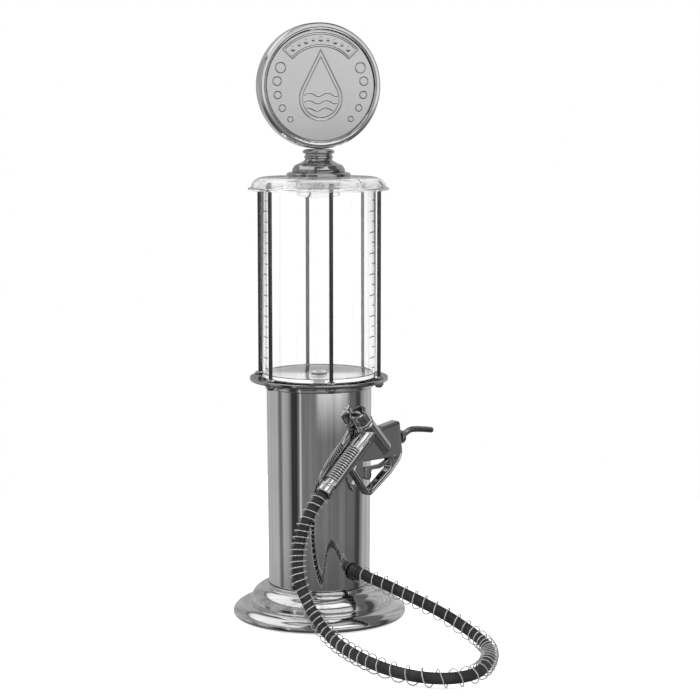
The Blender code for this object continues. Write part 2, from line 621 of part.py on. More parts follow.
def build_trigger(model, cutters, looks):
    """Trigger with its eye and finger tab, and the pin that it turns on."""
    pivot_x, pivot_z = TRIGGER_PIVOT
    points = arc((0.0, 0.0), (3.0, 3.0), 120, -90, 8)
    points += [(-5.0, -4.6), (-15.0, -8.4), (-24.8, -8.6), (-24.8, -14.2), (-27.0, -16.6), (-29.6, -16.4),
               (-31.2, -14.6), (-31.2, -7.4), (-29.4, -5.6), (-15.0, -5.2), (-6.6, -2.0)]
    trigger = plate("trigger", [points], TRIGGER_THICKNESS, None, model)
    trigger.data.materials.append(looks["chrome"])
    spot = (NOZZLE_ORIGIN[0] + pivot_x, NOZZLE_ORIGIN[1], NOZZLE_ORIGIN[2] + pivot_z)
    trigger.location = Vector(spot) * MM
    eye = cutter_cylinder("cut_trigger_eye", 1.5, -6.0, 6.0, cutters, 16)
    cut(trigger, place(eye, spot, (90, 0, 0)))
    pin = [(0, 4.4), (1.2, 4.4), (1.2, -4.4), (0, -4.4)]
    place(turned("trigger_pin", pin, 16, looks["steel"], model), spot, (90, 0, 0))


def build_valve(model, cutters, looks):
    """Valve stem with its spring, and the slotted cap that closes the barrel."""
    stem = [(0, 5.4), (1.4, 5.4), (1.4, 1.2), (3.6, 1.2), (3.6, -1.6), (1.2, -1.6), (1.2, -25.2), (0, -25.2)]
    along_barrel(turned("valve_stem", stem, 16, looks["steel"], model), VALVE_OFFSET)
    turns = 4
    per_turn = 8
    coil = []
    for step in range(turns * per_turn + 1):
        angle = 2 * math.pi * step / per_turn
        coil.append((2.8 * math.cos(angle), 2.8 * math.sin(angle), 2.7 + 9.2 * step / (turns * per_turn)))
    along_barrel(tube("valve_spring", coil, 0.35, looks["steel"], model, 0), VALVE_OFFSET)
    low = BARREL_HEAD + GAP
    wide = VALVE_CAP_RADIUS
    cap = [(0, 27.0), (wide - 0.8, 27.0), (wide, 26.0), (wide, low + 2.4), (wide - 0.7, low + 1.9),
           (wide - 0.7, low + 1.2), (wide, low + 0.8), (wide, low), (0, low)]
    valve_cap = turned("valve_cap", cap, 28, looks["chrome"], model)
    along_barrel(valve_cap, BARREL_OFFSET)
    slot = cutter_box("cut_cap_slot", (-1.6, -9.0, 23.0), (1.6, 9.0, 30.0), cutters)
    cut(valve_cap, along_barrel(slot, BARREL_OFFSET))


def build_spout(model, cutters, looks):
    """Collar on the nose of the nozzle and the bent spout in it."""
    nose_x = NOZZLE_ORIGIN[0] + 30.9
    nose_z = NOZZLE_ORIGIN[2] - 4.6
    collar = [(3.9, 3.8), (4.8, 3.8), (5.6, 2.8), (5.6, 0.0), (3.9, 0.0)]
    collar_item = turned("spout_collar", collar, 24, looks["chrome"], model, closed=True)
    place(collar_item, (nose_x, NOZZLE_ORIGIN[1], nose_z), (0, 90, 0))
    points = [(NOZZLE_ORIGIN[0] + x, NOZZLE_ORIGIN[1], NOZZLE_ORIGIN[2] + z) for x, z in SPOUT_BENDS]
    curve = tube("spout", smooth_route(points, 3.0), SPOUT_RADIUS, looks["spout_grey"], model, 3)
    spout = curve_to_mesh(curve, model)
    tip = Vector(points[-1])
    slope = math.degrees(math.atan2(points[-1][2] - points[-2][2], points[-1][0] - points[-2][0]))
    bore = cutter_cylinder("cut_spout_bore", 1.6, -12.0, 4.0, cutters, 12)
    cut(spout, place(bore, tip, (0, 90 - slope, 0)))


def side_section(name, outline, width, material, collection):
    """A bar along X with an outline given as (y, z) points, centred behind the nozzle."""
    bar = plate(name, [outline], width, None, collection)
    bar.data.materials.append(material)
    bar.rotation_euler = (math.radians(90), 0.0, math.radians(90))
    bar.location = (HANGER_X * MM, 0.0, 0.0)
    return bar


def build_hanger(model, cutters, looks):
    """Upturned hook on the column, its screw, and the clip on the nozzle's back that drops over it."""
    foot = HANGER_SCREW_Z - 3.5
    arm_top = HANGER_SCREW_Z + 3.5
    lip = HANGER_LIP_TOP
    section = [(-20.0, foot), (-20.0, arm_top), (-45.3, arm_top), (-45.3, lip), (-46.8, lip), (-46.8, foot)]
    hook = side_section("hanger_hook", section, HANGER_WIDTH, looks["chrome"], model)
    seat = cutter_cylinder("cut_hanger_seat", COLUMN_HEAD_RADIUS, 130.0, 170.0, cutters, 64)
    screw_bore = cutter_cylinder("cut_hanger_bore", 1.8, 15.0, 45.0, cutters, 12)
    place(screw_bore, (HANGER_X, 0.0, HANGER_SCREW_Z), (90.0, 0.0, 0.0))
    cut(hook, seat, screw_bore)
    screw = [(0, 44.6), (1.5, 44.6), (1.5, 21.0), (3.0, 21.0), (3.0, 19.2), (0, 19.2)]
    screw_item = turned("hanger_screw", screw, 12, looks["steel"], model)
    place(screw_item, (HANGER_X, 0.0, HANGER_SCREW_Z), (90, 0, 0))
    clip = [(-43.8, lip - 5.5), (-43.8, lip + 2.4), (-49.2, lip + 2.4), (-49.2, lip - 7.0),
            (-47.1, lip - 7.0), (-47.1, lip + GAP), (-45.0, lip + GAP), (-45.0, lip - 5.5)]
    side_section("hanger_clip", clip, HANGER_WIDTH - 1.0, looks["steel"], model)


def build_hose(model, looks):
    """Rubber hose that lies in a loop on the floor, and the open wire coil round it."""
    tube("hose", smooth_route(HOSE_ROUTE, 15.0), HOSE_DIAMETER / 2, looks["rubber"], model)
    fine = 1.0
    route = smooth_route(HOSE_ROUTE, fine)
    spacing = sum((b - a).length for a, b in zip(route, route[1:])) / (len(route) - 1)
    coil = helix_along(route[2:-1], COIL_RADIUS, COIL_PITCH, 6, spacing)
    tube("hose_spring", coil, COIL_WIRE / 2, looks["steel"], model, 0)


def main():
    """Build the whole dispenser from an empty scene."""
    for item in list(bpy.data.objects):
        bpy.data.objects.remove(item)
    model = make_collection("fuel_pump_drink_dispenser")
    cutters = make_collection("construction")
    looks = {
        "chrome": make_material("chrome", (0.80, 0.80, 0.80), 0.08, 1.0),
        "steel": make_material("steel", (0.55, 0.55, 0.56), 0.30, 1.0),
        "embossed": make_material("embossed", (0.62, 0.62, 0.64), 0.25, 1.0),
        "spout_grey": make_material("spout_grey", (0.30, 0.30, 0.31), 0.35, 1.0),
        "iron": make_material("iron", (0.20, 0.20, 0.20), 0.70, 1.0),
        "rubber": make_material("rubber", (0.03, 0.03, 0.03), 0.55, 0.0),
        "black_plastic": make_material("black_plastic", (0.06, 0.06, 0.06), 0.40, 0.0),
        "silicone": make_material("silicone", (0.80, 0.80, 0.78), 0.50, 0.0),
        "acrylic": make_material("acrylic", (0.92, 0.93, 0.93), 0.05, 0.0),
        "clear_plastic": make_material("clear_plastic", (0.88, 0.89, 0.89), 0.20, 0.0),
    }
    build_base(model, cutters, looks)
    build_column(model, cutters, looks)
    build_flange(model, cutters, looks)
    build_cage(model, looks)
    build_tank(model, looks)
    build_gland(model, looks)
    build_cap(model, cutters, looks)
    build_lid(model, looks)
    build_sign(model, cutters, looks)
    build_nozzle_body(model, cutters, looks)
    build_grip(model, cutters, looks)
    build_trigger(model, cutters, looks)
    build_valve(model, cutters, looks)
    build_spout(model, cutters, looks)
    build_hanger(model, cutters, looks)
    build_hose(model, looks)


main()
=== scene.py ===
"""Looks of the pump-shaped drink dispenser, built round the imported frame.

Lengths in the profiles are millimetres in the frame's own axes; MM turns them into metres.
"""
import json
import math

import bmesh
import bpy
import numpy as np
from mathutils import Matrix, Vector


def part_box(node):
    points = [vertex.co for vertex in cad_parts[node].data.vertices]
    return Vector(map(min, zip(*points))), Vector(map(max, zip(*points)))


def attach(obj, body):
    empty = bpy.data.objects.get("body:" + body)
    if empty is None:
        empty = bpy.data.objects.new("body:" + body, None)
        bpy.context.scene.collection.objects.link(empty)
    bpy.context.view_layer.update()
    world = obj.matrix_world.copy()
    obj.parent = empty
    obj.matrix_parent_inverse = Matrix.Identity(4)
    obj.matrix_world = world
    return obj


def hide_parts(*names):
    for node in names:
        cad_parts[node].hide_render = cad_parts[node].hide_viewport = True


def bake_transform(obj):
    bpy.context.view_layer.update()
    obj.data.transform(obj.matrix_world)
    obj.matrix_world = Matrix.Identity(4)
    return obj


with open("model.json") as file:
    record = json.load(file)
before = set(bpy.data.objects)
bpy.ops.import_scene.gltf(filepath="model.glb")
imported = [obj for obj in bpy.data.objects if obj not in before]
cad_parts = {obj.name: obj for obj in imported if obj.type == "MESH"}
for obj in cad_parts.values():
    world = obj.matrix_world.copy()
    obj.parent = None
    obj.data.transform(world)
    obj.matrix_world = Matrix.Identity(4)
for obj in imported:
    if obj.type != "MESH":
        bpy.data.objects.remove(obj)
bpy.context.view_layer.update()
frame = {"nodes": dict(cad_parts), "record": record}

MM = 0.001
ROD_ANGLES = [-30 + 60 * step for step in range(6)]
RIB_ANGLES = [60 * step for step in range(6)]
SIGN_TURN = -26.0
GRIP_ANGLE = 41.7
GRIP_OFFSET = 4.2
BARREL_OFFSET = 2.0
ROD_CIRCLE = 52.5
COLUMN_FOOT_RADIUS = 42.8
BASE_STEP_RADIUS = 58.0
BASE_THROAT_RADIUS = 45.0
CAP_WALL_RADIUS = 56.0
SIGN_HALF_DEPTH = 8.5
FACE_RADIUS = 45.8
FAR = 99.0
OUTLET_HEIGHT = 43.0
TRIGGER_PIVOT = Vector((23.0, 0.0, -19.5))
NOSE = Vector((30.9, 0.0, -4.6))
SCALE_LINES = 17
SCALE_SPACING = 8.66
NOZZLE_ORIGIN = Vector((10.6, -54.0, 158.0))
HOSE_RADIUS = 4.5
COIL_RADIUS = 7.3
COIL_WIRE = 0.45
VIEW_AZIMUTH = -41.0

# Panels of the studio: left and right bearing, bottom and top rise in degrees, softness and gain
STUDIO_LEVEL = 0.15
STUDIO_PANELS = [
    (-181.0, -70.0, -91.0, 2.0, 8.0, 0.33), (-101.0, -90.0, -91.0, 2.0, 4.0, -0.30),
    (-44.0, -39.0, -91.0, 12.0, 1.5, 0.42), (-64.0, -49.0, -91.0, 30.0, 2.0, -0.11),
    (-38.0, 70.0, -91.0, -1.0, 4.0, 0.05), (88.0, 103.0, -91.0, 30.0, 4.0, -0.08),
    (108.0, 181.0, -91.0, 40.0, 9.0, 0.36), (-181.0, -20.0, 2.0, 30.0, 6.0, 0.28),
    (-4.0, 66.0, -5.0, 24.0, 6.0, 0.70), (-160.0, -30.0, 34.0, 64.0, 5.0, 0.95),
    (-8.0, 66.0, 34.0, 62.0, 5.0, 1.10), (-181.0, 181.0, 68.0, 91.0, 4.0, 0.45),
]

# Points of the hose's centre line, from the gland to the nozzle, as in the part
HOSE_ROUTE = [
    (0.0, -50.5, 43.0), (0.0, -56.5, 42.9), (-0.6, -63.0, 41.8), (1.0, -74.9, 39.8),
    (3.2, -87.5, 37.0), (6.3, -99.4, 33.5), (9.6, -111.0, 30.0), (13.2, -123.0, 26.0),
    (17.0, -136.5, 21.0), (19.6, -151.0, 15.5), (18.8, -167.0, 10.8), (13.0, -183.5, 8.3),
    (0.5, -201.0, 8.0), (-17.5, -217.5, 8.0), (-37.0, -230.5, 8.0), (-55.0, -236.5, 8.0),
    (-72.0, -233.5, 8.0), (-84.5, -221.5, 8.0), (-91.0, -203.0, 8.0), (-92.0, -179.0, 8.0),
    (-87.5, -152.0, 8.0), (-80.0, -125.0, 8.0), (-73.5, -103.0, 9.5), (-70.5, -86.5, 15.0),
    (-70.0, -75.0, 23.5), (-71.2, -66.8, 34.0), (-72.6, -61.0, 46.0), (-72.4, -57.0, 58.5),
    (-70.0, -54.5, 71.0), (-65.5, -53.2, 84.0), (-59.8, -53.6, 97.2), (-51.9, -54.0, 107.8),
    (-43.1, -54.0, 115.8),
]


# ---------------------------------------------------------------- frame readings
def low(node):
    """Lowest height of a CAD node."""
    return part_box(node)[0][2] / MM


def high(node):
    """Greatest height of a CAD node."""
    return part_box(node)[1][2] / MM


def half_width(node):
    """Half the width of a CAD node along X."""
    lowest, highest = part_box(node)
    return (highest[0] - lowest[0]) / 2 / MM


def polar(radius, degrees, height=0.0):
    """A place at an angle counted from the front (-Y) towards +X."""
    angle = math.radians(degrees)
    return Vector((radius * math.sin(angle), -radius * math.cos(angle), height))


def grip_point(along, across):
    """World place from distances along and across the nozzle's grip."""
    angle = math.radians(GRIP_ANGLE)
    x = along * math.cos(angle) - across * math.sin(angle)
    z = along * math.sin(angle) + across * math.cos(angle)
    return NOZZLE_ORIGIN + Vector((x, 0.0, z))


# ---------------------------------------------------------------- camera and light
def add_camera():
    """Long lens in front of the dispenser, looking slightly down."""
    distance, height, pitch, yaw = 1.693, 0.444, 7.37, 0.88
    azimuth = math.radians(VIEW_AZIMUTH)
    heading = azimuth - math.radians(yaw)
    data = bpy.data.cameras.new("camera")
    data.lens = 104.9
    data.sensor_width = 36.0
    camera = bpy.data.objects.new("camera", data)
    bpy.context.scene.collection.objects.link(camera)
    camera.location = (distance * math.sin(azimuth), -distance * math.cos(azimuth), height)
    forward = Vector((-math.sin(heading), math.cos(heading), -math.tan(math.radians(pitch))))
    camera.rotation_euler = forward.to_track_quat("-Z", "Y").to_euler()
    bpy.context.scene.camera = camera


def smooth_box(tree, value, start, end, soft):
    """Nodes that give 1 between two values and 0 outside, with soft edges."""
    parts = []
    for edge, sign in ((start, 1.0), (end, -1.0)):
        node = tree.nodes.new("ShaderNodeMapRange")
        node.interpolation_type = "SMOOTHSTEP"
        node.inputs["From Min"].default_value = edge - sign * soft
        node.inputs["From Max"].default_value = edge + sign * soft
        tree.links.new(value, node.inputs["Value"])
        parts.append(node.outputs["Result"])
    return math_node(tree, "MULTIPLY", *parts)


def math_node(tree, operation, first, second=None):
    """One math node; an input is a socket or a number."""
    node = tree.nodes.new("ShaderNodeMath")
    node.operation = operation
    for socket, value in zip(node.inputs, (first, second)):
        if value is None:
            continue
        if isinstance(value, (int, float)):
            socket.default_value = value
        else:
            tree.links.new(value, socket)
    return node.outputs[0]


def ray_angles(tree):
    """Bearing of a ray, in degrees turned from the camera's side and positive to its right, and its rise."""
    coordinates = tree.nodes.new("ShaderNodeTexCoord")
    turn = tree.nodes.new("ShaderNodeVectorRotate")
    turn.rotation_type = "Z_AXIS"
    turn.inputs["Angle"].default_value = -math.radians(VIEW_AZIMUTH)
    tree.links.new(coordinates.outputs["Generated"], turn.inputs["Vector"])
    split = tree.nodes.new("ShaderNodeSeparateXYZ")
    tree.links.new(turn.outputs["Vector"], split.inputs[0])
    minus_y = math_node(tree, "MULTIPLY", split.outputs["Y"], -1.0)
    bearing = math_node(tree, "ARCTAN2", split.outputs["X"], minus_y)
    rise = math_node(tree, "ARCSINE", split.outputs["Z"])
    return [math_node(tree, "MULTIPLY", angle, 180.0 / math.pi) for angle in (bearing, rise)]


def streaks(tree, bearing, rise):
    """Uneven streaks that lie over the studio's panels."""
    place = tree.nodes.new("ShaderNodeCombineXYZ")
    tree.links.new(math_node(tree, "MULTIPLY", bearing, 0.075), place.inputs["X"])
    tree.links.new(math_node(tree, "MULTIPLY", rise, 0.03), place.inputs["Y"])
    texture = tree.nodes.new("ShaderNodeTexNoise")
    texture.noise_dimensions = "2D"
    texture.inputs["Scale"].default_value = 1.0
    texture.inputs["Detail"].default_value = 4.0
    texture.inputs["Roughness"].default_value = 0.62
    tree.links.new(place.outputs[0], texture.inputs["Vector"])
    change = math_node(tree, "MULTIPLY_ADD", texture.outputs["Fac"], 1.1)
    change.node.inputs[2].default_value = 0.45
    return change


def studio_brightness(tree):
    """Brightness of the soft boxes and dark flags that the chrome reflects."""
    bearing, rise = ray_angles(tree)
    total = STUDIO_LEVEL
    for left, right, bottom, top, soft, gain in STUDIO_PANELS:
        across = smooth_box(tree, bearing, left, right, soft)
        up = smooth_box(tree, rise, bottom, top, 3.0)
        panel = math_node(tree, "MULTIPLY", math_node(tree, "MULTIPLY", across, up), gain)
        total = math_node(tree, "ADD", panel, total)
    total = math_node(tree, "MAXIMUM", total, 0.02)
    floor_dark = tree.nodes.new("ShaderNodeMapRange")
    floor_dark.inputs["From Min"].default_value = -26.0
    floor_dark.inputs["From Max"].default_value = -16.0
    floor_dark.inputs["To Min"].default_value = 0.35
    tree.links.new(rise, floor_dark.inputs["Value"])
    studio = math_node(tree, "MULTIPLY", total, streaks(tree, bearing, rise))
    return math_node(tree, "MULTIPLY", studio, floor_dark.outputs["Result"])


def add_world():
    """White backdrop, and a studio that only reflections see."""
    world = bpy.data.worlds.new("studio")
    bpy.context.scene.world = world
    world.use_nodes = True
    tree = world.node_tree
    rays = tree.nodes.new("ShaderNodeLightPath")
    through = math_node(tree, "MULTIPLY", rays.outputs["Is Transmission Ray"], 1.1)
    soft_fill = math_node(tree, "MULTIPLY", rays.outputs["Is Diffuse Ray"], 0.8)
    direct = math_node(tree, "ADD", rays.outputs["Is Camera Ray"], through)
    white = math_node(tree, "ADD", direct, soft_fill)
    glossy = math_node(tree, "COMPARE", white, 0.0)
    glossy.node.inputs[2].default_value = 0.1
    reflected = math_node(tree, "MULTIPLY", glossy, studio_brightness(tree))
    background = tree.nodes["Background"]
    background.inputs["Color"].default_value = (1.0, 1.0, 1.0, 1.0)
    tree.links.new(math_node(tree, "ADD", reflected, white), background.inputs["Strength"])


def add_lights():
    """One large soft light above left and a weaker one on the right."""
    for name, bearing, height, distance, size, power in (
            ("key_light", -75.0, 1.1, 1.0, 0.7, 9.0), ("fill_light", 55.0, 0.9, 1.1, 0.5, 4.0)):
        data = bpy.data.lights.new(name, "AREA")
        data.size = size
        data.energy = power
        light = bpy.data.objects.new(name, data)
        bpy.context.scene.collection.objects.link(light)
        light.location = polar(distance, VIEW_AZIMUTH + bearing, height)
        aim = Vector((0.0, 0.0, 0.15)) - light.location
        light.rotation_euler = aim.to_track_quat("-Z", "Y").to_euler()
        light.visible_glossy = False


# ---------------------------------------------------------------- materials
def start_material(name):
    """New material with its node tree and Principled shader."""
    material = bpy.data.materials.new(name)
    material.use_nodes = True
    tree = material.node_tree
    return material, tree, tree.nodes["Principled BSDF"]


def noise(tree, scale, detail=3.0, stretch=(1.0, 1.0, 1.0)):
    """Noise in the object's own metres, stretched along its axes."""
    coordinates = tree.nodes.new("ShaderNodeTexCoord")
    mapping = tree.nodes.new("ShaderNodeMapping")
    mapping.inputs["Scale"].default_value = stretch
    texture = tree.nodes.new("ShaderNodeTexNoise")
    texture.inputs["Scale"].default_value = scale
    texture.inputs["Detail"].default_value = detail
    tree.links.new(coordinates.outputs["Object"], mapping.inputs["Vector"])
    tree.links.new(mapping.outputs["Vector"], texture.inputs["Vector"])
    return texture.outputs["Fac"]


def paint(tree, shader, socket, value, stops):
    """Drive a shader's socket by a ramp over a value; stops are (position, grey or colour)."""
    node = tree.nodes.new("ShaderNodeValToRGB")
    elements = node.color_ramp.elements
    while len(elements) < len(stops):
        elements.new(0.5)
    for element, (position, colour) in zip(elements, stops):
        element.position = position
        shade = (colour, colour, colour) if isinstance(colour, float) else colour
        element.color = (*shade, 1.0)
    tree.links.new(value, node.inputs["Fac"])
    tree.links.new(node.outputs["Color"], shader.inputs[socket])


def bump(tree, shader, value, strength, distance):
    """Bump from a value into the shader's normal, on top of any bump there."""
    node = tree.nodes.new("ShaderNodeBump")
    node.inputs["Strength"].default_value = strength
    node.inputs["Distance"].default_value = distance
    tree.links.new(value, node.inputs["Height"])
    if shader.inputs["Normal"].is_linked:
        tree.links.new(shader.inputs["Normal"].links[0].from_socket, node.inputs["Normal"])
    tree.links.new(node.outputs["Normal"], shader.inputs["Normal"])


def metal(name, dark, light, smooth, rough, grain=900.0, stretch=(1.0, 1.0, 1.0), wave=0.0, grain_depth=0.02,
          share=1.0):
    """Metal whose tone and polish vary, with a faint wave and grain in its surface."""
    material, tree, shader = start_material(name)
    shader.inputs["Metallic"].default_value = share
    paint(tree, shader, "Base Color", noise(tree, 22.0, 4.0), [(0.3, dark), (0.7, light)])
    fine = noise(tree, grain, 2.0, stretch)
    paint(tree, shader, "Roughness", fine, [(0.3, smooth), (0.75, rough)])
    if wave:
        bump(tree, shader, noise(tree, 28.0, 1.0), wave, 0.002)
    if grain_depth:
        bump(tree, shader, fine, grain_depth, 0.0002)
    return material


def rubber(name, dark, light, grain, rough=(0.42, 0.62)):
    """Matt rubber with a fine dusty grain."""
    material, tree, shader = start_material(name)
    paint(tree, shader, "Base Color", noise(tree, 60.0, 5.0), [(0.35, dark), (0.7, light)])
    fine = noise(tree, grain, 3.0)
    paint(tree, shader, "Roughness", fine, [(0.3, rough[0]), (0.7, rough[1])])
    bump(tree, shader, fine, 0.25, 0.0003)
    return material


def clear(name, colour, smooth, rough, transmission=1.0, wave=0.01):
    """Clear plastic with slight haze and flow marks."""
    material, tree, shader = start_material(name)
    shader.inputs["Transmission Weight"].default_value = transmission
    shader.inputs["IOR"].default_value = 1.49
    darker = tuple(0.97 * channel for channel in colour)
    paint(tree, shader, "Base Color", noise(tree, 12.0, 3.0), [(0.3, darker), (0.7, colour)])
    paint(tree, shader, "Roughness", noise(tree, 45.0, 4.0), [(0.4, smooth), (0.8, rough)])
    bump(tree, shader, noise(tree, 30.0, 2.0), wave, 0.001)
    return material


def floor_material():
    """Seamless white paper."""
    material, tree, shader = start_material("floor_paper")
    paint(tree, shader, "Base Color", noise(tree, 40.0, 3.0), [(0.3, 0.90), (0.7, 0.92)])
    shader.inputs["Roughness"].default_value = 0.9
    shader.inputs["Specular IOR Level"].default_value = 0.1
    shader.inputs["Emission Color"].default_value = (1.0, 1.0, 1.0, 1.0)
    shader.inputs["Emission Strength"].default_value = 0.62
    return material


def make_looks():
    """Every finish on the object, by the record's slot name."""
    return {
        "chrome": metal("chrome", 0.70, 0.76, 0.02, 0.06, 300.0, wave=0.012, grain_depth=0.0),
        # The same chrome with a darker colour: painted shade for the darker reflections on the flange, rod
        # bosses, dome nuts and pedestal
        "chrome_painted_dark": metal("chrome_painted_dark", 0.40, 0.48, 0.03, 0.08, 300.0, wave=0.02, grain_depth=0.0),
        "cast_chrome": metal("cast_chrome", 0.60, 0.70, 0.05, 0.12, 400.0, wave=0.10, grain_depth=0.0),
        "satin": metal("satin", 0.55, 0.62, 0.30, 0.36, 60.0, grain_depth=0.0),
        # Near-black metal for the faces between the grip's ribs: painted shade in the grooves, not the
        # metal's own colour
        "painted_groove_shade": metal("painted_groove_shade", 0.05, 0.10, 0.30, 0.45, 500.0),
        "steel": metal("steel", 0.42, 0.55, 0.18, 0.38, 500.0, (1.0, 1.0, 0.05)),
        "rod_steel": metal("rod_steel", 0.09, 0.16, 0.24, 0.42, 700.0, (1.0, 1.0, 0.3), grain_depth=0.15),
        "spring_wire": metal("spring_wire", 0.52, 0.66, 0.16, 0.32, 900.0, share=0.65),
        "embossed": metal("embossed", 0.66, 0.70, 0.16, 0.22, 900.0, grain_depth=0.0),
        "spout_grey": metal("spout_grey", 0.34, 0.44, 0.22, 0.36, 700.0),
        "iron": metal("iron", 0.10, 0.20, 0.50, 0.80, 400.0, grain_depth=0.5),
        "hose_rubber": rubber("hose_rubber", 0.012, 0.026, 1500.0),
        "rubber": rubber("rubber", 0.020, 0.045, 900.0),
        "black_plastic": rubber("black_plastic", 0.014, 0.026, 500.0, (0.22, 0.35)),
        "silicone": clear("silicone", (0.95, 0.95, 0.94), 0.10, 0.22, 0.92, wave=0.05),
        "ink": rubber("ink", 0.03, 0.07, 1200.0),
        "acrylic": clear("acrylic", (1.0, 1.0, 1.0), 0.0, 0.02),
        "clear_plastic": clear("clear_plastic", (0.965, 0.97, 0.965), 0.03, 0.12, 0.90, wave=0.10),
    }


# ---------------------------------------------------------------- shapes
def rounded(corners, closed=True, steps=5):
    """Points of an outline whose corners (across, up, fillet) are rounded."""
    points = []
    count = len(corners)
    for index, (across, up, fillet) in enumerate(corners):
        corner = Vector((across, up))
        if fillet <= 0 or (not closed and index in (0, count - 1)):
            points.append(corner)
            continue
        before = Vector(corners[index - 1][:2]) - corner
        after = Vector(corners[(index + 1) % count][:2]) - corner
        reach = fillet / math.tan(before.angle(after) / 2)
        reach = min(reach, 0.49 * before.length, 0.49 * after.length)
        start = corner + before.normalized() * reach
        end = corner + after.normalized() * reach
        for step in range(steps + 1):
            t = step / steps
            points.append(start * (1 - t) ** 2 + corner * 2 * t * (1 - t) + end * t ** 2)
    return [(point.x, point.y) for point in points]


def link(name, mesh):
    """New object in the scene."""
    item = bpy.data.objects.new(name, mesh)
    bpy.context.scene.collection.objects.link(item)
    return item


def from_bmesh(name, shape, sharp=35.0):
    """Object from a bmesh, with smooth shading up to an angle."""
    bmesh.ops.recalc_face_normals(shape, faces=shape.faces)
    mesh = bpy.data.meshes.new(name)
    shape.to_mesh(mesh)
    shape.free()
    mesh.shade_smooth()
    mesh.set_sharp_from_angle(angle=math.radians(sharp))
    return link(name, mesh)


def spin(name, profile, segments, closed=True, start=0.0, end=360.0):
    """Turn a profile of (radius, height) about Z; an open profile ends on the axis."""
    shape = bmesh.new()
    full = abs(end - start) >= 360.0
    columns = []
    for step in range(segments if full else segments + 1):
        angle = math.radians(start + (end - start) * step / segments)
        column = []
        for index, (radius, height) in enumerate(profile):
            if radius < 1e-6 and columns:
                column.append(columns[0][index])
                continue
            spot = (radius * math.cos(angle) * MM, radius * math.sin(angle) * MM, height * MM)
            column.append(shape.verts.new(spot))
        columns.append(column)
    pairs = list(zip(columns, columns[1:]))
    if full:
        pairs.append((columns[-1], columns[0]))
    rows = [(index, index + 1) for index in range(len(profile) - 1)]
    if closed:
        rows.append((len(profile) - 1, 0))
    for left, right in pairs:
        for upper, lower in rows:
            corners = []
            for vertex in (left[upper], right[upper], right[lower], left[lower]):
                if vertex not in corners:
                    corners.append(vertex)
            if len(corners) > 2:
                shape.faces.new(corners)
    if not full:
        shape.faces.new(columns[0])
        shape.faces.new(columns[-1])
    return from_bmesh(name, shape)


def lathe(name, corners, segments):
    """Ring turned about Z from (radius, height, fillet) corners."""
    return spin(name, rounded(corners), segments)


def lathe_solid(name, corners, segments):
    """Solid turned about Z from corners that start and end on the axis."""
    return spin(name, rounded(corners, closed=False), segments, closed=False)


def catmull(points, spacing, closed=False):
    """Even points along a smooth curve through the given points."""
    knots = [Vector(point) for point in points]
    if closed:
        knots = [knots[-1]] + knots + [knots[0], knots[1]]
    else:
        knots = [knots[0] * 2 - knots[1]] + knots + [knots[-1] * 2 - knots[-2]]
    dense = []
    for index in range(1, len(knots) - 2):
        before, first, second, after = knots[index - 1:index + 3]
        for step in range(20):
            t = step / 20
            dense.append(0.5 * (
                2 * first + (second - before) * t + (2 * before - 5 * first + 4 * second - after) * t ** 2
                + (3 * first - before - 3 * second + after) * t ** 3))
    dense.append(knots[-2])
    route = evenly(dense, spacing)
    return route[:-1] if closed else route


def evenly(dense, spacing):
    """Points at an even spacing along a line of closer points."""
    lengths = [0.0]
    for first, second in zip(dense, dense[1:]):
        lengths.append(lengths[-1] + (second - first).length)
    count = max(2, round(lengths[-1] / spacing))
    route = []
    index = 0
    for step in range(count + 1):
        target = lengths[-1] * step / count
        while index < len(dense) - 2 and lengths[index + 1] < target:
            index += 1
        share = (target - lengths[index]) / (lengths[index + 1] - lengths[index])
        route.append(dense[index].lerp(dense[index + 1], share))
    return route


def frames_along(route):
    """Side directions that turn as little as possible along a route."""
    direction = (route[1] - route[0]).normalized()
    side = direction.orthogonal().normalized()
    frames = []
    for index in range(len(route)):
        before = route[max(index - 1, 0)]
        after = route[min(index + 1, len(route) - 1)]
        direction = (after - before).normalized()
        side = side - side.project(direction)
        side.normalize()
        frames.append((side.copy(), direction.cross(side)))
    return frames


def sweep(name, route, rings, sides):
    """Round body of rings (place on the route, radius); both ends are closed."""
    shape = bmesh.new()
    frames = frames_along(route)
    loops = []
    for index, radius in rings:
        side, up = frames[index]
        loop = []
        for step in range(sides):
            angle = 2 * math.pi * step / sides
            offset = (side * math.cos(angle) + up * math.sin(angle)) * radius
            loop.append(shape.verts.new((route[index] + offset) * MM))
        loops.append(loop)
    for first, second in zip(loops, loops[1:]):
        for step in range(sides):
            after = (step + 1) % sides
            shape.faces.new((first[step], first[after], second[after], second[step]))
    shape.faces.new(loops[0])
    shape.faces.new(loops[-1])
    return from_bmesh(name, shape, 40.0)


def wire(name, points, radius, resolution=3, cyclic=False):
    """Round wire through points, as a mesh with closed ends."""
    curve = bpy.data.curves.new(name, "CURVE")
    curve.dimensions = "3D"
    curve.bevel_depth = radius * MM
    curve.bevel_resolution = resolution
    curve.use_fill_caps = True
    spline = curve.splines.new("POLY")
    spline.points.add(len(points) - 1)
    for point, spot in zip(spline.points, points):
        point.co = (*(Vector(spot) * MM), 1.0)
    spline.use_cyclic_u = cyclic
    return as_mesh(link(name, curve))


def as_mesh(item, sharp=40.0):
    """Replace an object by its evaluated mesh, with its seams welded."""
    bpy.context.view_layer.update()
    evaluated = item.evaluated_get(bpy.context.evaluated_depsgraph_get())
    mesh = bpy.data.meshes.new_from_object(evaluated)
    mesh.transform(item.matrix_world)
    name = item.name
    bpy.data.objects.remove(item)
    shape = bmesh.new()
    shape.from_mesh(mesh)
    bpy.data.meshes.remove(mesh)
    bmesh.ops.remove_doubles(shape, verts=shape.verts, dist=0.000002)
    return from_bmesh(name, shape, sharp)


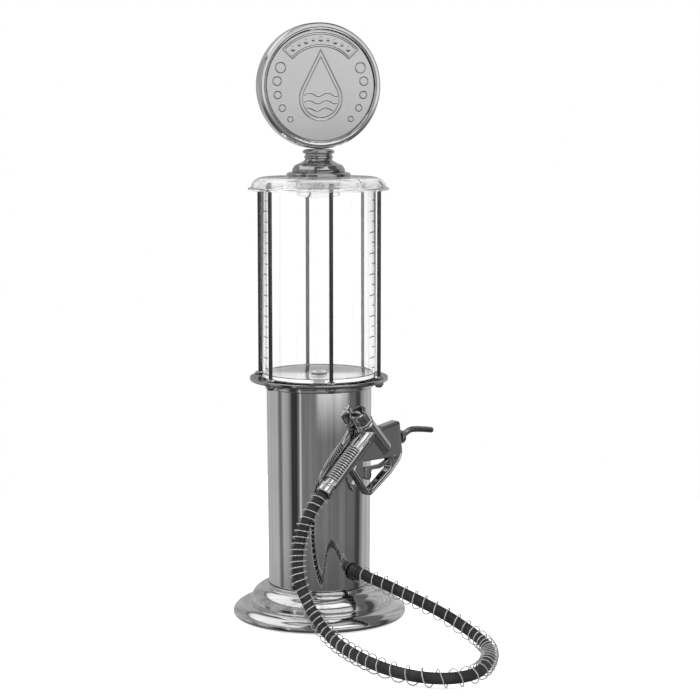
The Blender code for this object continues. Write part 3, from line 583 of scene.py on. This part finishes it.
def slab(name, outlines, thickness, bevel, centre):
    """Plate in the XZ plane with rounded edges, from (x, z) outlines round a centre."""
    curve = bpy.data.curves.new(name, "CURVE")
    curve.dimensions = "2D"
    curve.fill_mode = "BOTH"
    curve.extrude = (thickness / 2 - bevel) * MM
    curve.bevel_depth = bevel * MM
    curve.bevel_resolution = 3
    curve.offset = -bevel * MM
    for outline in outlines:
        spline = curve.splines.new("POLY")
        spline.points.add(len(outline) - 1)
        for point, (across, up) in zip(spline.points, outline):
            point.co = (across * MM, up * MM, 0.0, 1.0)
        spline.use_cyclic_u = True
    item = link(name, curve)
    item.rotation_euler = (math.radians(90), 0.0, 0.0)
    item.location = centre * MM
    return as_mesh(item)


def box_shape(name, lowest, highest):
    """Box mesh between two corners, for cutting."""
    shape = bmesh.new()
    size = [(b - a) * MM for a, b in zip(lowest, highest)]
    middle = [(a + b) / 2 * MM for a, b in zip(lowest, highest)]
    bmesh.ops.create_cube(shape, size=1.0, matrix=Matrix.Translation(middle) @ Matrix.Diagonal((*size, 1.0)))
    return from_bmesh(name, shape)


def carve(item, tool):
    """Cut a tool object out of a piece, then remove the tool."""
    modifier = item.modifiers.new("carve", "BOOLEAN")
    modifier.operation = "DIFFERENCE"
    modifier.object = tool
    modifier.solver = "EXACT"
    result = as_mesh(item)
    bpy.data.objects.remove(tool)
    return result


def fuse_cast(name, parts, voxel, rounds):
    """Melt overlapping parts into one smooth casting."""
    shape = bmesh.new()
    for part in parts:
        part.data.transform(part.matrix_world)
        shape.from_mesh(part.data)
        bpy.data.objects.remove(part)
    item = from_bmesh(name, shape)
    remesh = item.modifiers.new("melt", "REMESH")
    remesh.mode = "VOXEL"
    remesh.voxel_size = voxel * MM
    smooth = item.modifiers.new("ease", "SMOOTH")
    smooth.factor = 0.5
    smooth.iterations = rounds
    return as_mesh(item, 180.0)


def stand(item, place, tilt=(0.0, 0.0, 0.0)):
    """Put a turned piece in its place, in millimetres and degrees."""
    item.location = Vector(place) * MM
    item.rotation_euler = [math.radians(angle) for angle in tilt]
    bpy.context.view_layer.update()
    return item


def along_grip(item):
    """Lay a turned piece along the grip."""
    return stand(item, grip_point(0.0, GRIP_OFFSET), (0.0, 90.0 - GRIP_ANGLE, 0.0))


def along_barrel(item):
    """Stand a turned piece along the valve barrel."""
    return stand(item, grip_point(BARREL_OFFSET, 0.0), (0.0, -GRIP_ANGLE, 0.0))


def dress(item, body, look, slot, *nodes):
    """Give a piece its body and finish, and hide the CAD nodes that it stands for; the slot is not used."""
    item.data.materials.clear()
    item.data.materials.append(looks[look])
    if body:
        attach(item, body)
    if nodes:
        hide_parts(*nodes)
    return item


# ---------------------------------------------------------------- the hose
def build_hose():
    """Rubber hose in its loop, and the loose wire coil round it."""
    route = catmull(HOSE_ROUTE, 2.5)
    rings = [(0, HOSE_RADIUS - 0.6)] + [(index, HOSE_RADIUS) for index in range(len(route))]
    rings += [(len(route) - 1, HOSE_RADIUS - 0.6)]
    hose = sweep("hose_line", route, rings, 24)
    coil = wire("hose_coil", coil_points(), COIL_WIRE, 2)
    for item, look, slot, node in ((hose, "hose_rubber", "hose_rubber", "hose"),
                                   (coil, "spring_wire", "spring_wire", "hose_spring")):
        dress(item, None, look, slot, node)
        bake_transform(item)


def coil_points():
    """Helix that is closer at the nozzle and at the far bend, and hangs a little below the hose."""
    fine = 0.5
    route = catmull(HOSE_ROUTE, fine)
    frames = frames_along(route)
    per_turn = 18
    points = []
    angle = 0.0
    position = 1.0
    end = len(route) - 3
    while position < end:
        index = int(position)
        share = index / len(route)
        crowd = max(math.exp(-((share - 0.335) / 0.055) ** 2), 1.0 / (1.0 + math.exp((0.76 - share) / 0.02)))
        stretch = math.exp(-((share - 0.56) / 0.13) ** 2)
        wander = 0.7 * math.sin(share * 47.0) + 0.4 * math.sin(share * 91.0)
        pitch = 10.4 + 3.2 * stretch + wander - 5.0 * crowd
        side, up = frames[index]
        centre = route[index].lerp(route[index + 1], position - index)
        centre = centre - Vector((0.0, 0.0, 0.35 * min(1.0, max(0.0, (centre.z - 8.5) / 4.0))))
        radius = COIL_RADIUS - 0.25 - 0.35 * crowd
        points.append(centre + (side * math.cos(angle) + up * math.sin(angle)) * radius)
        angle += 2 * math.pi / per_turn
        position += pitch / per_turn / fine
    return points


# ---------------------------------------------------------------- base and column
def build_base():
    """Spun base in two rolled steps, with its edge curled under."""
    top = high("base_shell")
    bottom = low("base_shell")
    wide = half_width("base_shell")
    step = BASE_STEP_RADIUS
    throat = BASE_THROAT_RADIUS
    outer = [(33.0, top, 0.0), (throat + 0.4, top, 0.7), (throat + 0.6, top - 1.8, 0.4)]
    outline = rounded(outer, closed=False)[:-1]
    for index in range(15):
        angle = math.radians(86 - 86 * index / 14)
        outline.append((throat + 0.3 + 12.7 * math.cos(angle), 12.5 + 13.0 * math.sin(angle)))
    outline += [(step - 0.15, 11.9), (step + 0.15, 11.4), (step + 0.8, 11.2)]
    for index in range(15):
        angle = math.radians(83 - 83 * index / 14)
        outline.append((step + 0.2 + (wide - step - 0.2) * math.cos(angle), 3.4 + 7.9 * math.sin(angle)))
    outline += [(wide - 0.15, 2.4), (wide - 0.6, 1.6), (wide - 1.4, 1.0), (wide - 2.2, bottom)]
    inner = [(max(radius - 1.2, 32.0), height - 1.0) for radius, height in outline[::-1] if height > 2.6]
    base = spin("base_cover", outline + [(wide - 3.2, bottom + 0.4)] + inner, 200)
    dress(base, "root", "chrome", "chrome", "base_shell")


def build_column():
    """Polished column with a rolled foot seam, and the collar round its head."""
    top = high("column_tube")
    foot = low("column_tube")
    outer_top = half_width("column_tube")
    outer_foot = COLUMN_FOOT_RADIUS
    corners = [(outer_top - 1.5, top, 0.3), (outer_top, top, 0.3), (outer_foot, foot, 0.5),
               (34.0, foot, 0.3), (34.0, foot + 1.5, 0.2), (outer_foot - 1.5, foot + 1.5, 0.2)]
    dress(lathe("column_wall", corners, 220), "root", "chrome", "chrome", "column_tube")
    collar_low = low("column_collar")
    collar_top = high("column_collar")
    wide = half_width("column_collar")
    collar = [(44.3, collar_top, 0.2), (wide, collar_top, 0.5), (wide, collar_top - 1.6, 0.2),
              (wide - 0.4, collar_top - 2.0, 0.2), (wide, collar_top - 2.4, 0.2),
              (wide, collar_low + 0.6, 0.8), (wide - 0.9, collar_low, 0.3), (44.3, collar_low, 0.1)]
    dress(lathe("collar_ring", collar, 200), "root", "chrome", "chrome", "column_collar")


def build_gland():
    """Hose outlet at the foot of the column."""
    corners = [(2.6, 50.0, 0.1), (4.6, 50.0, 0.6), (5.7, 49.2, 0.6), (5.8, 46.6, 0.8), (7.2, 45.4, 0.8),
               (7.2, 43.6, 0.3), (5.8, 43.6, 0.1), (5.8, 36.2, 0.1),
               (3.6, 35.8, 0.1), (3.6, 34.3, 0.1), (2.6, 34.3, 0.1)]
    gland = stand(lathe("outlet_gland", corners, 64), (0.0, 0.0, OUTLET_HEIGHT), (90.0, 0.0, 0.0))
    dress(gland, "root", "black_plastic", "black_plastic", "hose_gland")


def build_flange():
    """Flange plate with a rolled edge and a shallow seat for the tank."""
    top = high("flange_plate")
    bottom = low("flange_plate")
    wide = half_width("flange_plate")
    seat = top - 1.2
    corners = [(5.5, seat, 0.1), (47.9, seat, 0.2), (47.9, top - 0.2, 0.3), (49.0, top - 0.2, 0.3),
               (wide - 2.2, top - 0.2, 0.4), (wide - 1.7, top, 0.3), (wide, top, 1.2), (wide, bottom, 1.4),
               (wide - 3.0, bottom, 0.6), (5.5, bottom, 0.1)]
    # The flange takes the chrome darkened by painted shade
    dress(lathe("flange_disc", corners, 200), "root", "chrome_painted_dark", "chrome", "flange_plate")
    disc = [(9.4, seat + 0.08), (47.6, seat + 0.08), (47.6, seat - 0.2), (9.4, seat - 0.2)]
    dress(spin("seat_disc", disc, 160), "root", "satin", "chrome")


def measures(node):
    """Half width, lowest and greatest height of a CAD node."""
    return half_width(node), low(node), high(node)


def build_rod(number, spot):
    """Bar of the cage."""
    wide, foot, top = measures(f"cage_rod_{number}")
    corners = [(0.0, top, 0.0), (wide, top, 0.4), (wide, foot, 0.4), (0.0, foot, 0.0)]
    rod = stand(lathe_solid(f"rod_{number}", corners, 32), spot)
    dress(rod, "root", "rod_steel", "steel", f"cage_rod_{number}")


def build_boss(number, spot):
    """Flanged boss that the rod stands in."""
    wide, bottom, top = measures(f"rod_washer_{number}")
    corners = [(2.0, top, 0.1), (3.0, top, 0.3), (3.4, top - 0.6, 0.2), (wide, top - 0.9, 0.4),
               (wide, bottom, 0.1), (2.0, bottom, 0.1)]
    boss = stand(lathe(f"rod_boss_{number}", corners, 40), spot)
    # The boss takes the chrome darkened by painted shade
    dress(boss, "root", "chrome_painted_dark", "chrome", f"rod_washer_{number}")


def build_nut(number, spot):
    """Dome nut under the flange."""
    wide, bottom, top = measures(f"rod_nut_{number}")
    corners = [(0.0, top - 2.6, 0.0), (2.1, top - 2.6, 0.1), (2.1, top, 0.1), (wide, top, 0.2),
               (wide, top - 1.9, 0.3), (wide - 0.9, top - 2.3, 0.2), (wide - 1.3, top - 3.5, 0.6),
               (0.0, bottom, 0.0)]
    nut = stand(lathe_solid(f"dome_nut_{number}", corners, 40), spot)
    # The dome nut takes the chrome darkened by painted shade
    dress(nut, "root", "chrome_painted_dark", "chrome", f"rod_nut_{number}")


def build_cage():
    """Six rods with their flanged bosses and dome nuts."""
    for number, angle in enumerate(ROD_ANGLES, 1):
        spot = polar(ROD_CIRCLE, angle)
        build_rod(number, spot)
        build_boss(number, spot)
        build_nut(number, spot)


# ---------------------------------------------------------------- tank, cap and lid
def build_tank():
    """Clear tank with its printed scales, and the outlet fitting in its floor."""
    top, bottom, wide = high("tank"), low("tank"), half_width("tank")
    inner = wide - 2.0
    floor = bottom + 3.0
    corners = [(inner, top, 0.4), (wide, top, 0.4), (wide, bottom, 0.8), (5.4, bottom, 0.2),
               (5.4, floor, 0.2), (inner, floor, 1.0)]
    dress(lathe("clear_tank", corners, 200), "root", "acrylic", "acrylic", "tank")
    corners = [(2.8, floor + 1.0, 0.1), (6.4, floor + 1.0, 0.4), (7.2, floor + 0.3, 0.2),
               (5.0, floor + 0.3, 0.1), (5.0, floor - 14.3, 0.3), (4.2, floor - 16.3, 0.3),
               (4.2, floor - 21.3, 0.2), (2.8, floor - 21.3, 0.1)]
    dress(lathe("drain_fitting", corners, 64), "root", "satin", "clear_plastic", "outlet_spigot")
    for side, centre, reach in (("right", 28.0, 8.0), ("left", -109.0, 6.0)):
        scale = tank_scale(f"tank_scale_{side}", wide + 0.12, centre, reach, floor + 1.6)
        dress(scale, "root", "ink", "acrylic")


def tank_scale(name, radius, centre, reach, start):
    """Printed scale: short and long lines in turn, bent round the tank's wall."""
    shape = bmesh.new()
    for index in range(SCALE_LINES):
        height = start + (index + 0.5) * SCALE_SPACING
        span = reach if index % 2 else reach * 0.55
        left = centre + reach - 2 * span
        steps = 8
        corners = []
        for step in range(steps + 1):
            angle = left + 2 * span * step / steps
            corners.append([shape.verts.new(polar(radius + out, angle, height + rise) * MM)
                            for out, rise in ((0.0, -0.3), (0.06, -0.3), (0.06, 0.3), (0.0, 0.3))])
        for first, second in zip(corners, corners[1:]):
            for edge in range(4):
                after = (edge + 1) % 4
                shape.faces.new((first[edge], first[after], second[after], second[edge]))
        shape.faces.new(corners[0])
        shape.faces.new(corners[-1])
    return from_bmesh(name, shape)


def build_cap():
    """Moulded clear cap with rod sockets and stiffening ribs under its top."""
    top, lip, wide = high("tank_cap"), low("tank_cap"), half_width("tank_cap")
    wall = CAP_WALL_RADIUS
    outer = [(20.0, top), (wall - 11.0, top)]
    inner = []
    for index in range(13):
        angle = math.radians(90 - 90 * index / 12)
        across, up = math.cos(angle), math.sin(angle)
        outer.append((wall - 10.5 + 10.5 * across, lip + 2.6 + (top - lip - 2.6) * up ** 1.1))
        inner.append((wall - 12.0 + 9.8 * across, lip + 1.4 + (top - lip - 3.6) * up ** 1.1))
    edge = [(wall, lip + 2.3, 0.0), (wide, lip + 1.3, 0.5), (wide, lip, 0.4), (wall - 2.2, lip, 0.0)]
    rim = rounded(edge, closed=False)
    outline = outer + rim + inner[::-1] + [(20.0, top - 2.2)]
    dress(spin("clear_cap", outline, 220), "root", "clear_plastic", "clear_plastic", "tank_cap")
    for number, angle in enumerate(ROD_ANGLES, 1):
        corners = [(1.95, top - 4.4, 0.1), (2.6, top - 4.4, 0.2), (2.6, lip + 1.2, 0.3),
                   (1.95, lip + 1.2, 0.1)]
        socket = stand(lathe(f"cap_socket_{number}", corners, 32), polar(ROD_CIRCLE, angle))
        dress(socket, "root", "clear_plastic", "clear_plastic")
    for number, angle in enumerate(RIB_ANGLES, 1):
        outline = [(-0.9, 0.0), (0.9, 0.0), (0.9, 5.2), (-0.9, 5.2)]
        rib = slab(f"cap_rib_{number}", [outline], 4.6, 0.25, Vector((0.0, -49.6, top - 6.6)))
        stand(rib, (0.0, 0.0, 0.0), (0.0, 0.0, angle))
        dress(rib, "root", "clear_plastic", "clear_plastic")


def build_stopper():
    """Clear stopper, open underneath."""
    wide, bottom, top = measures("stopper_plug")
    corners = [(2.8, top, 0.2), (wide, top, 0.3), (wide, bottom, 0.6), (wide - 2.2, bottom, 0.4),
               (wide - 2.4, top - 3.0, 1.2), (2.8, top - 3.0, 0.2)]
    dress(lathe("stopper_cup", corners, 120), "lid", "acrylic", "clear_plastic", "stopper_plug")


def build_seal():
    """Seal round the stopper, with three lips."""
    wide, bottom, top = measures("stopper_seal")
    corners = [(18.3, top, 0.1)]
    for index in range(3):
        level = top - 0.3 - index * 1.3
        corners += [(wide - 0.7, level, 0.1), (wide, level - 0.45, 0.35), (wide - 0.7, level - 0.9, 0.1)]
    corners += [(18.3, bottom, 0.1)]
    dress(lathe("ribbed_seal", corners, 120), "lid", "silicone", "silicone", "stopper_seal")


def build_pedestal():
    """Turned pedestal between the stopper and the sign."""
    wide, base, top = measures("finial_pedestal")
    corners = [(2.8, top, 0.1), (10.6, top, 0.3), (11.4, top - 0.3, 0.3), (13.1, top - 1.2, 0.9),
               (13.2, top - 2.9, 1.0), (11.3, top - 4.0, 0.6), (11.0, top - 5.0, 0.5), (11.9, top - 5.8, 0.5),
               (12.0, top - 7.0, 0.5), (11.0, top - 8.0, 0.6), (12.2, top - 9.6, 0.8),
               (15.0, base + 11.4, 1.2), (19.8, base + 9.4, 2.0), (21.6, base + 6.6, 1.6),
               (22.2, base + 4.6, 0.6), (21.6, base + 3.9, 0.3), (24.8, base + 3.5, 0.4),
               (wide, base + 2.6, 0.6), (wide, base, 0.4), (2.8, base, 0.1)]
    pedestal = lathe("turned_pedestal", corners, 160)
    # The pedestal takes the chrome darkened by painted shade
    dress(pedestal, "lid", "chrome_painted_dark", "chrome", "finial_pedestal")


# ---------------------------------------------------------------- sign
def ridge(distance, half, height):
    """Rounded ridge with its crest where the distance is nought."""
    return height * np.clip(1.0 - (distance / half) ** 2, 0.0, 1.0)


def banner_distance(radius, angle, low_radius, high_radius, span):
    """Distance to the edge of a curved banner at the top of the face."""
    beside = np.abs(np.abs(angle) - span) * math.pi / 180 * radius
    edge_in = np.where(np.abs(angle) < span, np.abs(radius - low_radius), FAR)
    edge_out = np.where(np.abs(angle) < span, np.abs(radius - high_radius), FAR)
    ends = np.where((radius > low_radius) & (radius < high_radius), beside, FAR)
    return np.minimum(np.minimum(edge_in, edge_out), ends)


def banner_relief(x, y):
    """Curved banner with a double edge and a row of plain beads."""
    radius = np.hypot(x, y)
    angle = np.degrees(np.arctan2(x, y))
    height = ridge(banner_distance(radius, angle, 32.4, 43.6, 47.0), 0.42, 0.26)
    height = np.maximum(height, ridge(banner_distance(radius, angle, 33.8, 42.2, 45.4), 0.36, 0.20))
    for index in range(9):
        bearing = math.radians(-38 + 9.5 * index)
        size = 1.5 if index % 2 else 2.3
        spot = np.hypot(x - 38.0 * math.sin(bearing), y - 38.0 * math.cos(bearing))
        height = np.maximum(height, ridge(spot, size, 0.32))
    return height


def circle_relief(x, y):
    """Raised circles down both sides of the face."""
    height = np.zeros_like(x)
    for step, size in enumerate((4.2, 3.5, 3.0, 2.7, 2.2)):
        bearing = math.radians(90 - 24 + 17.5 * step)
        for side in (-1.0, 1.0):
            spot = np.hypot(x - side * 37.0 * math.sin(bearing), y - 37.0 * math.cos(bearing))
            height = np.maximum(height, ridge(np.abs(spot - size), 0.45, 0.28))
    return height


def drop_relief(x, y):
    """Falling drop with a double edge and three waves in it."""
    height = np.zeros_like(x)
    for scale, rise in ((1.0, 0.28), (0.86, 0.20)):
        height = np.maximum(height, ridge(np.abs(drop_distance(x, y, scale)), 0.45, rise))
    inside = drop_distance(x, y, 0.80) < 0.0
    for level in (-19.0, -13.0, -7.0):
        wave = np.abs(y - level - 1.3 * np.sin(x * 0.42 + level))
        height = np.maximum(height, np.where(inside, ridge(wave, 0.45, 0.22), 0.0))
    return height


def face_relief(x, y):
    """Raised height of the pressed picture at places on the face, in millimetres."""
    return np.maximum(np.maximum(banner_relief(x, y), circle_relief(x, y)), drop_relief(x, y))


def drop_distance(x, y, scale):
    """Rough distance to the outline of a falling drop, negative inside."""
    across = x / scale
    up = (y + 10.0) / scale
    round_part = np.hypot(across, up) - 18.0
    slope = math.radians(27)
    cone = np.abs(across) * math.cos(slope) + (up - 39.6) * math.sin(slope)
    return np.where(up > 8.2, cone, round_part) * scale


def face_mesh(radius, front, back):
    """Pressed round plate, its picture raised from a slightly domed field."""
    rings, sides = 210, 720
    shape = bmesh.new()
    radii = np.linspace(0.0, radius, rings + 1)[1:]
    angles = np.linspace(0.0, 2 * math.pi, sides, endpoint=False)
    grid_r, grid_a = np.meshgrid(radii, angles, indexing="ij")
    x = grid_r * np.sin(grid_a)
    y = grid_r * np.cos(grid_a)
    depth = front - 0.5 * (grid_r / radius) ** 2 + face_relief(x, y)
    depth = depth - 0.35 * np.clip((grid_r - radius + 1.2) / 1.2, 0.0, 1.0) ** 2
    loops = []
    for row in range(rings):
        spots = zip(x[row] * MM, -depth[row] * MM, y[row] * MM)
        loops.append([shape.verts.new(spot) for spot in spots])
    centre = shape.verts.new((0.0, -front * MM, 0.0))
    for i in range(sides):
        after = (i + 1) % sides
        shape.faces.new((centre, loops[0][i], loops[0][after]))
        for first, second in zip(loops, loops[1:]):
            shape.faces.new((first[i], second[i], second[after], first[after]))
    rim = [shape.verts.new((v.co.x, -back * MM, v.co.z)) for v in loops[-1]]
    for i in range(sides):
        after = (i + 1) % sides
        shape.faces.new((loops[-1][i], rim[i], rim[after], loops[-1][after]))
    shape.faces.new(rim)
    return shape


def build_sign():
    """Two-sided round sign: rolled rim with a raised inner ridge, and a pressed face on each side."""
    centre = (low("sign_rim") + high("sign_rim")) / 2
    wide = (high("sign_rim") - low("sign_rim")) / 2
    half = SIGN_HALF_DEPTH
    side = [(46.1, half - 2.6, 0.1), (46.1, half - 0.7, 0.2), (46.7, half - 0.2, 0.3),
            (47.3, half - 0.5, 0.3), (48.0, half - 0.1, 0.4), (50.2, half - 0.3, 1.0),
            (wide, half - 2.4, 1.4)]
    other = [(radius, -height, fillet) for radius, height, fillet in reversed(side)]
    rim = lathe("rolled_rim", side + other, 220)
    stand(rim, (0.0, 0.0, centre), (90.0, 0.0, SIGN_TURN))
    dress(rim, "sign", "chrome", "chrome", "sign_rim")
    for name, node, turn in (("pressed_face_front", "sign_face_front", SIGN_TURN),
                             ("pressed_face_back", "sign_face_back", SIGN_TURN + 180)):
        face = from_bmesh(name, face_mesh(FACE_RADIUS, half - 0.9, half - 2.4), 180.0)
        stand(face, (0.0, 0.0, centre), (0.0, 0.0, turn))
        dress(face, "sign", "embossed", "embossed", node)


# ---------------------------------------------------------------- nozzle
# Corners (across, up, fillet) of the cast body and of its finger opening, as in the part
BODY_CORNERS = [
    (-24.5, -26.0, 0.0), (-20.0, -16.0, 0.0), (-4.5, 2.3, 3.0), (8.0, 7.0, 30.0),
    (28.0, 10.4, 2.8), (31.6, -20.5, 12.0), (17.5, -34.5, 60.0), (-6.0, -50.5, 5.0),
]
WINDOW_CORNERS = [
    (-13.0, -19.8, 1.0), (-13.0, -36.0, 6.0), (-6.5, -45.8, 6.0), (17.8, -28.4, 4.0), (17.2, -19.8, 2.5),
]
SPOUT_BENDS = [(31.2, -4.6), (36.5, -2.8), (42.0, -0.3), (48.0, 0.2), (58.5, -1.0), (69.0, -2.8)]


def cast_outline(corners, spacing):
    """Closed outline with rounded corners, as evenly spaced points."""
    points = [Vector((across, up, 0.0)) for across, up in rounded(corners, steps=8)]
    return [(point.x, point.y) for point in evenly(points + points[:1], spacing)[:-1]]


def smooth_outline(points, spacing):
    """Closed smooth outline through (x, z) points."""
    route = catmull([(x, z, 0.0) for x, z in points], spacing, closed=True)
    return [(point.x, point.y) for point in route]


def inset(outline, distance):
    """Outline moved sideways by a distance, to the right of its direction."""
    moved = []
    count = len(outline)
    for index in range(count):
        before = Vector(outline[index - 1])
        after = Vector(outline[(index + 1) % count])
        direction = (after - before).normalized()
        moved.append((outline[index][0] + direction.y * distance, outline[index][1] - direction.x * distance))
    return moved


def build_nozzle_body():
    """Cast body: plate with raised edges, valve barrel and grip core, melted into one casting."""
    outer = cast_outline(BODY_CORNERS, 0.8)
    window = cast_outline(WINDOW_CORNERS, 0.6)
    parts = [slab("cast_plate", [outer, window], 8.4, 0.7, NOZZLE_ORIGIN)]
    beads = (("outer_bead", inset(outer, 1.3), 1.15), ("window_bead", inset(window, 0.9), 0.85))
    for name, outline, radius in beads:
        for face in (-3.6, 3.6):
            ring = [NOZZLE_ORIGIN + Vector((x, face, z)) for x, z in outline]
            parts.append(wire(f"{name}_{'front' if face < 0 else 'back'}", ring, radius, 3, cyclic=True))
    core = [(0.0, 1.0, 0.0), (5.4, 1.0, 1.2), (5.4, -58.9, 0.1), (0.0, -58.9, 0.0)]
    parts.append(along_grip(lathe_solid("grip_core", core, 48)))
    neck = [(0.0, 3.0, 0.0), (6.9, 3.0, 1.0), (6.6, -14.0, 2.0), (6.1, -20.6, 0.2), (0.0, -20.6, 0.0)]
    parts.append(along_grip(lathe_solid("grip_neck", neck, 64)))
    spine = [(0.0, -8.0), (6.9, -8.0), (6.9, -58.7), (0.0, -58.7)]
    tool = spin("grip_spine", spine, 64, closed=False)
    spine_cut = box_shape("spine_cut", (-9.0, -9.0, -70.0), (-1.4, 9.0, 0.0))
    parts.append(along_grip(carve(tool, spine_cut)))
    barrel = [(0.0, 12.5, 0.0), (6.7, 12.5, 0.3), (7.0, 11.9, 0.3), (7.0, -18.0, 1.5), (5.5, -20.0, 1.0),
              (0.0, -20.0, 0.0)]
    parts.append(along_barrel(lathe_solid("valve_barrel", barrel, 64)))
    body = fuse_cast("nozzle_casting", parts, 0.36, 7)
    x, z = NOZZLE_ORIGIN.x, NOZZLE_ORIGIN.z
    body = carve(body, box_shape("trigger_slot", (x + 13.0, -56.6, z - 26.6), (x + 27.0, -51.4, z - 14.6)))
    dress(body, "nozzle", "cast_chrome", "chrome", "nozzle_body")


def build_grip():
    """Ribbed sleeve over the upper side of the grip, and the ferrule that holds the hose."""
    foot, head, ribs = -54.0, -21.0, 14
    pitch = (head - foot) / ribs
    corners = [(5.6, head, 0.1), (5.9, head, 0.1)]
    for rib in range(ribs):
        top = head - rib * pitch
        corners += [(5.9, top - 0.30 * pitch, 0.15), (7.1, top - 0.38 * pitch, 0.55),
                    (7.1, top - 0.92 * pitch, 0.55), (5.9, top - pitch, 0.15)]
    corners += [(5.6, foot, 0.1)]
    sleeve = spin("ribbed_grip", rounded(corners, steps=3), 72, start=106.0, end=254.0)
    dress(along_grip(sleeve), "nozzle", "chrome", "chrome", "grip_sleeve")
    # Faces between the ribs (radius under 6.25 mm) take the near-black metal, which is painted shade in the
    # grooves
    sleeve.data.materials.append(looks["painted_groove_shade"])
    for face in sleeve.data.polygons:
        face.material_index = int(math.hypot(face.center.x, face.center.y) < 6.25 * MM)
    corners = [(2.6, -59.2, 0.1), (6.5, -59.2, 0.3), (6.9, -59.8, 0.4), (6.9, -61.0, 0.2), (6.4, -61.4, 0.2),
               (6.4, -62.0, 0.2), (6.9, -62.4, 0.3), (6.9, -66.6, 0.6), (6.2, -67.6, 0.4), (2.6, -67.6, 0.1)]
    ferrule = along_grip(lathe("crimp_ferrule", corners, 72))
    dress(ferrule, "nozzle", "chrome", "chrome", "hose_ferrule")


def build_trigger():
    """Bent trigger with its finger tab, and the head of the pin that it turns on."""
    points = []
    for index in range(9):
        angle = math.radians(120 - 210 * index / 8)
        points.append((3.0 * math.cos(angle), 3.0 * math.sin(angle)))
    points += [(-5.0, -4.6), (-15.0, -8.4), (-24.4, -8.8), (-24.8, -14.2), (-27.0, -16.5), (-29.6, -16.4),
               (-31.2, -14.6), (-31.2, -7.6), (-29.4, -5.7), (-15.0, -5.2), (-6.6, -2.0)]
    pivot = NOZZLE_ORIGIN + TRIGGER_PIVOT
    trigger = slab("finger_trigger", [smooth_outline(points, 0.6)], 4.4, 0.7, pivot)
    dress(trigger, "trigger", "cast_chrome", "chrome", "trigger")
    half = [(0.0, 5.0, 0.0), (1.4, 5.0, 0.4), (1.9, 4.5, 0.2), (1.9, 4.35, 0.05), (1.2, 4.3, 0.05)]
    corners = half + [(radius, -height, fillet) for radius, height, fillet in reversed(half)]
    rivet = lathe_solid("pivot_rivet", corners, 32)
    pin = stand(rivet, pivot, (90.0, 0.0, 0.0))
    dress(pin, "nozzle", "steel", "steel", "trigger_pin")


def build_valve_cap():
    """Grooved cap with a slot, on top of the valve barrel."""
    corners = [(0.0, 26.6, 0.0), (5.2, 26.7, 1.0), (6.0, 27.0, 0.4), (7.0, 26.8, 0.6), (7.6, 25.8, 0.5),
               (7.6, 17.4, 0.3), (6.9, 16.8, 0.3), (6.9, 15.9, 0.3), (7.7, 15.4, 0.2), (7.7, 14.4, 0.2),
               (6.9, 13.9, 0.2), (6.9, 13.4, 0.2), (7.5, 12.8, 0.1), (0.0, 12.8, 0.0)]
    cap = along_barrel(lathe_solid("slotted_cap", corners, 72))
    tool = along_barrel(box_shape("cap_slot", (-1.2, -9.0, 24.0), (1.2, 9.0, 30.0)))
    dress(carve(cap, tool), "nozzle", "chrome", "chrome", "valve_cap")


def build_spout():
    """Bent spout with an open tip, in a collar on the nozzle's nose."""
    corners = [(3.9, 3.8, 0.1), (4.9, 3.8, 0.4), (5.7, 2.8, 0.4), (5.7, 0.0, 0.2), (3.9, 0.0, 0.1)]
    collar = stand(lathe("nose_collar", corners, 48), NOZZLE_ORIGIN + NOSE, (0.0, 90.0, 0.0))
    dress(collar, "nozzle", "cast_chrome", "chrome", "spout_collar")
    route = catmull([NOZZLE_ORIGIN + Vector((x, 0.0, z)) for x, z in SPOUT_BENDS], 0.8)
    last = len(route) - 1
    rings = [(index, 2.5 + 1.1 * max(0.0, 1.0 - index / 9.0) ** 1.5) for index in range(last - 1)]
    rings += [(last - 1, 2.42), (last, 2.2), (last, 1.75), (last - 1, 1.7), (last - 10, 1.7)]
    dress(sweep("bent_spout", route, rings, 40), "nozzle", "spout_grey", "spout_grey", "spout")


def dress_carried_nodes():
    """Procedural finishes for the CAD nodes that stay as they are."""
    for entry in frame["record"]["subparts"]:
        item = frame["nodes"][entry["node"]]
        look = looks[entry["material_slot"]]
        item.data.materials.clear()
        item.data.materials.append(look)


def add_floor():
    """Round sheet of white paper under the dispenser."""
    shape = bmesh.new()
    bmesh.ops.create_circle(shape, cap_ends=True, segments=128, radius=0.62)
    floor = from_bmesh("floor", shape)
    floor.location = (0.0, 0.0, -0.0002)
    floor.data.materials.append(floor_material())
    floor.visible_glossy = False


bpy.context.scene.view_settings.view_transform = "Standard"
add_camera()
add_world()
add_lights()
looks = make_looks()
build_hose()
dress_carried_nodes()
build_base()
build_column()
build_gland()
build_flange()
build_cage()
build_tank()
build_cap()
build_stopper()
build_seal()
build_pedestal()
build_sign()
build_nozzle_body()
build_grip()
build_trigger()
build_valve_cap()
build_spout()
add_floor()
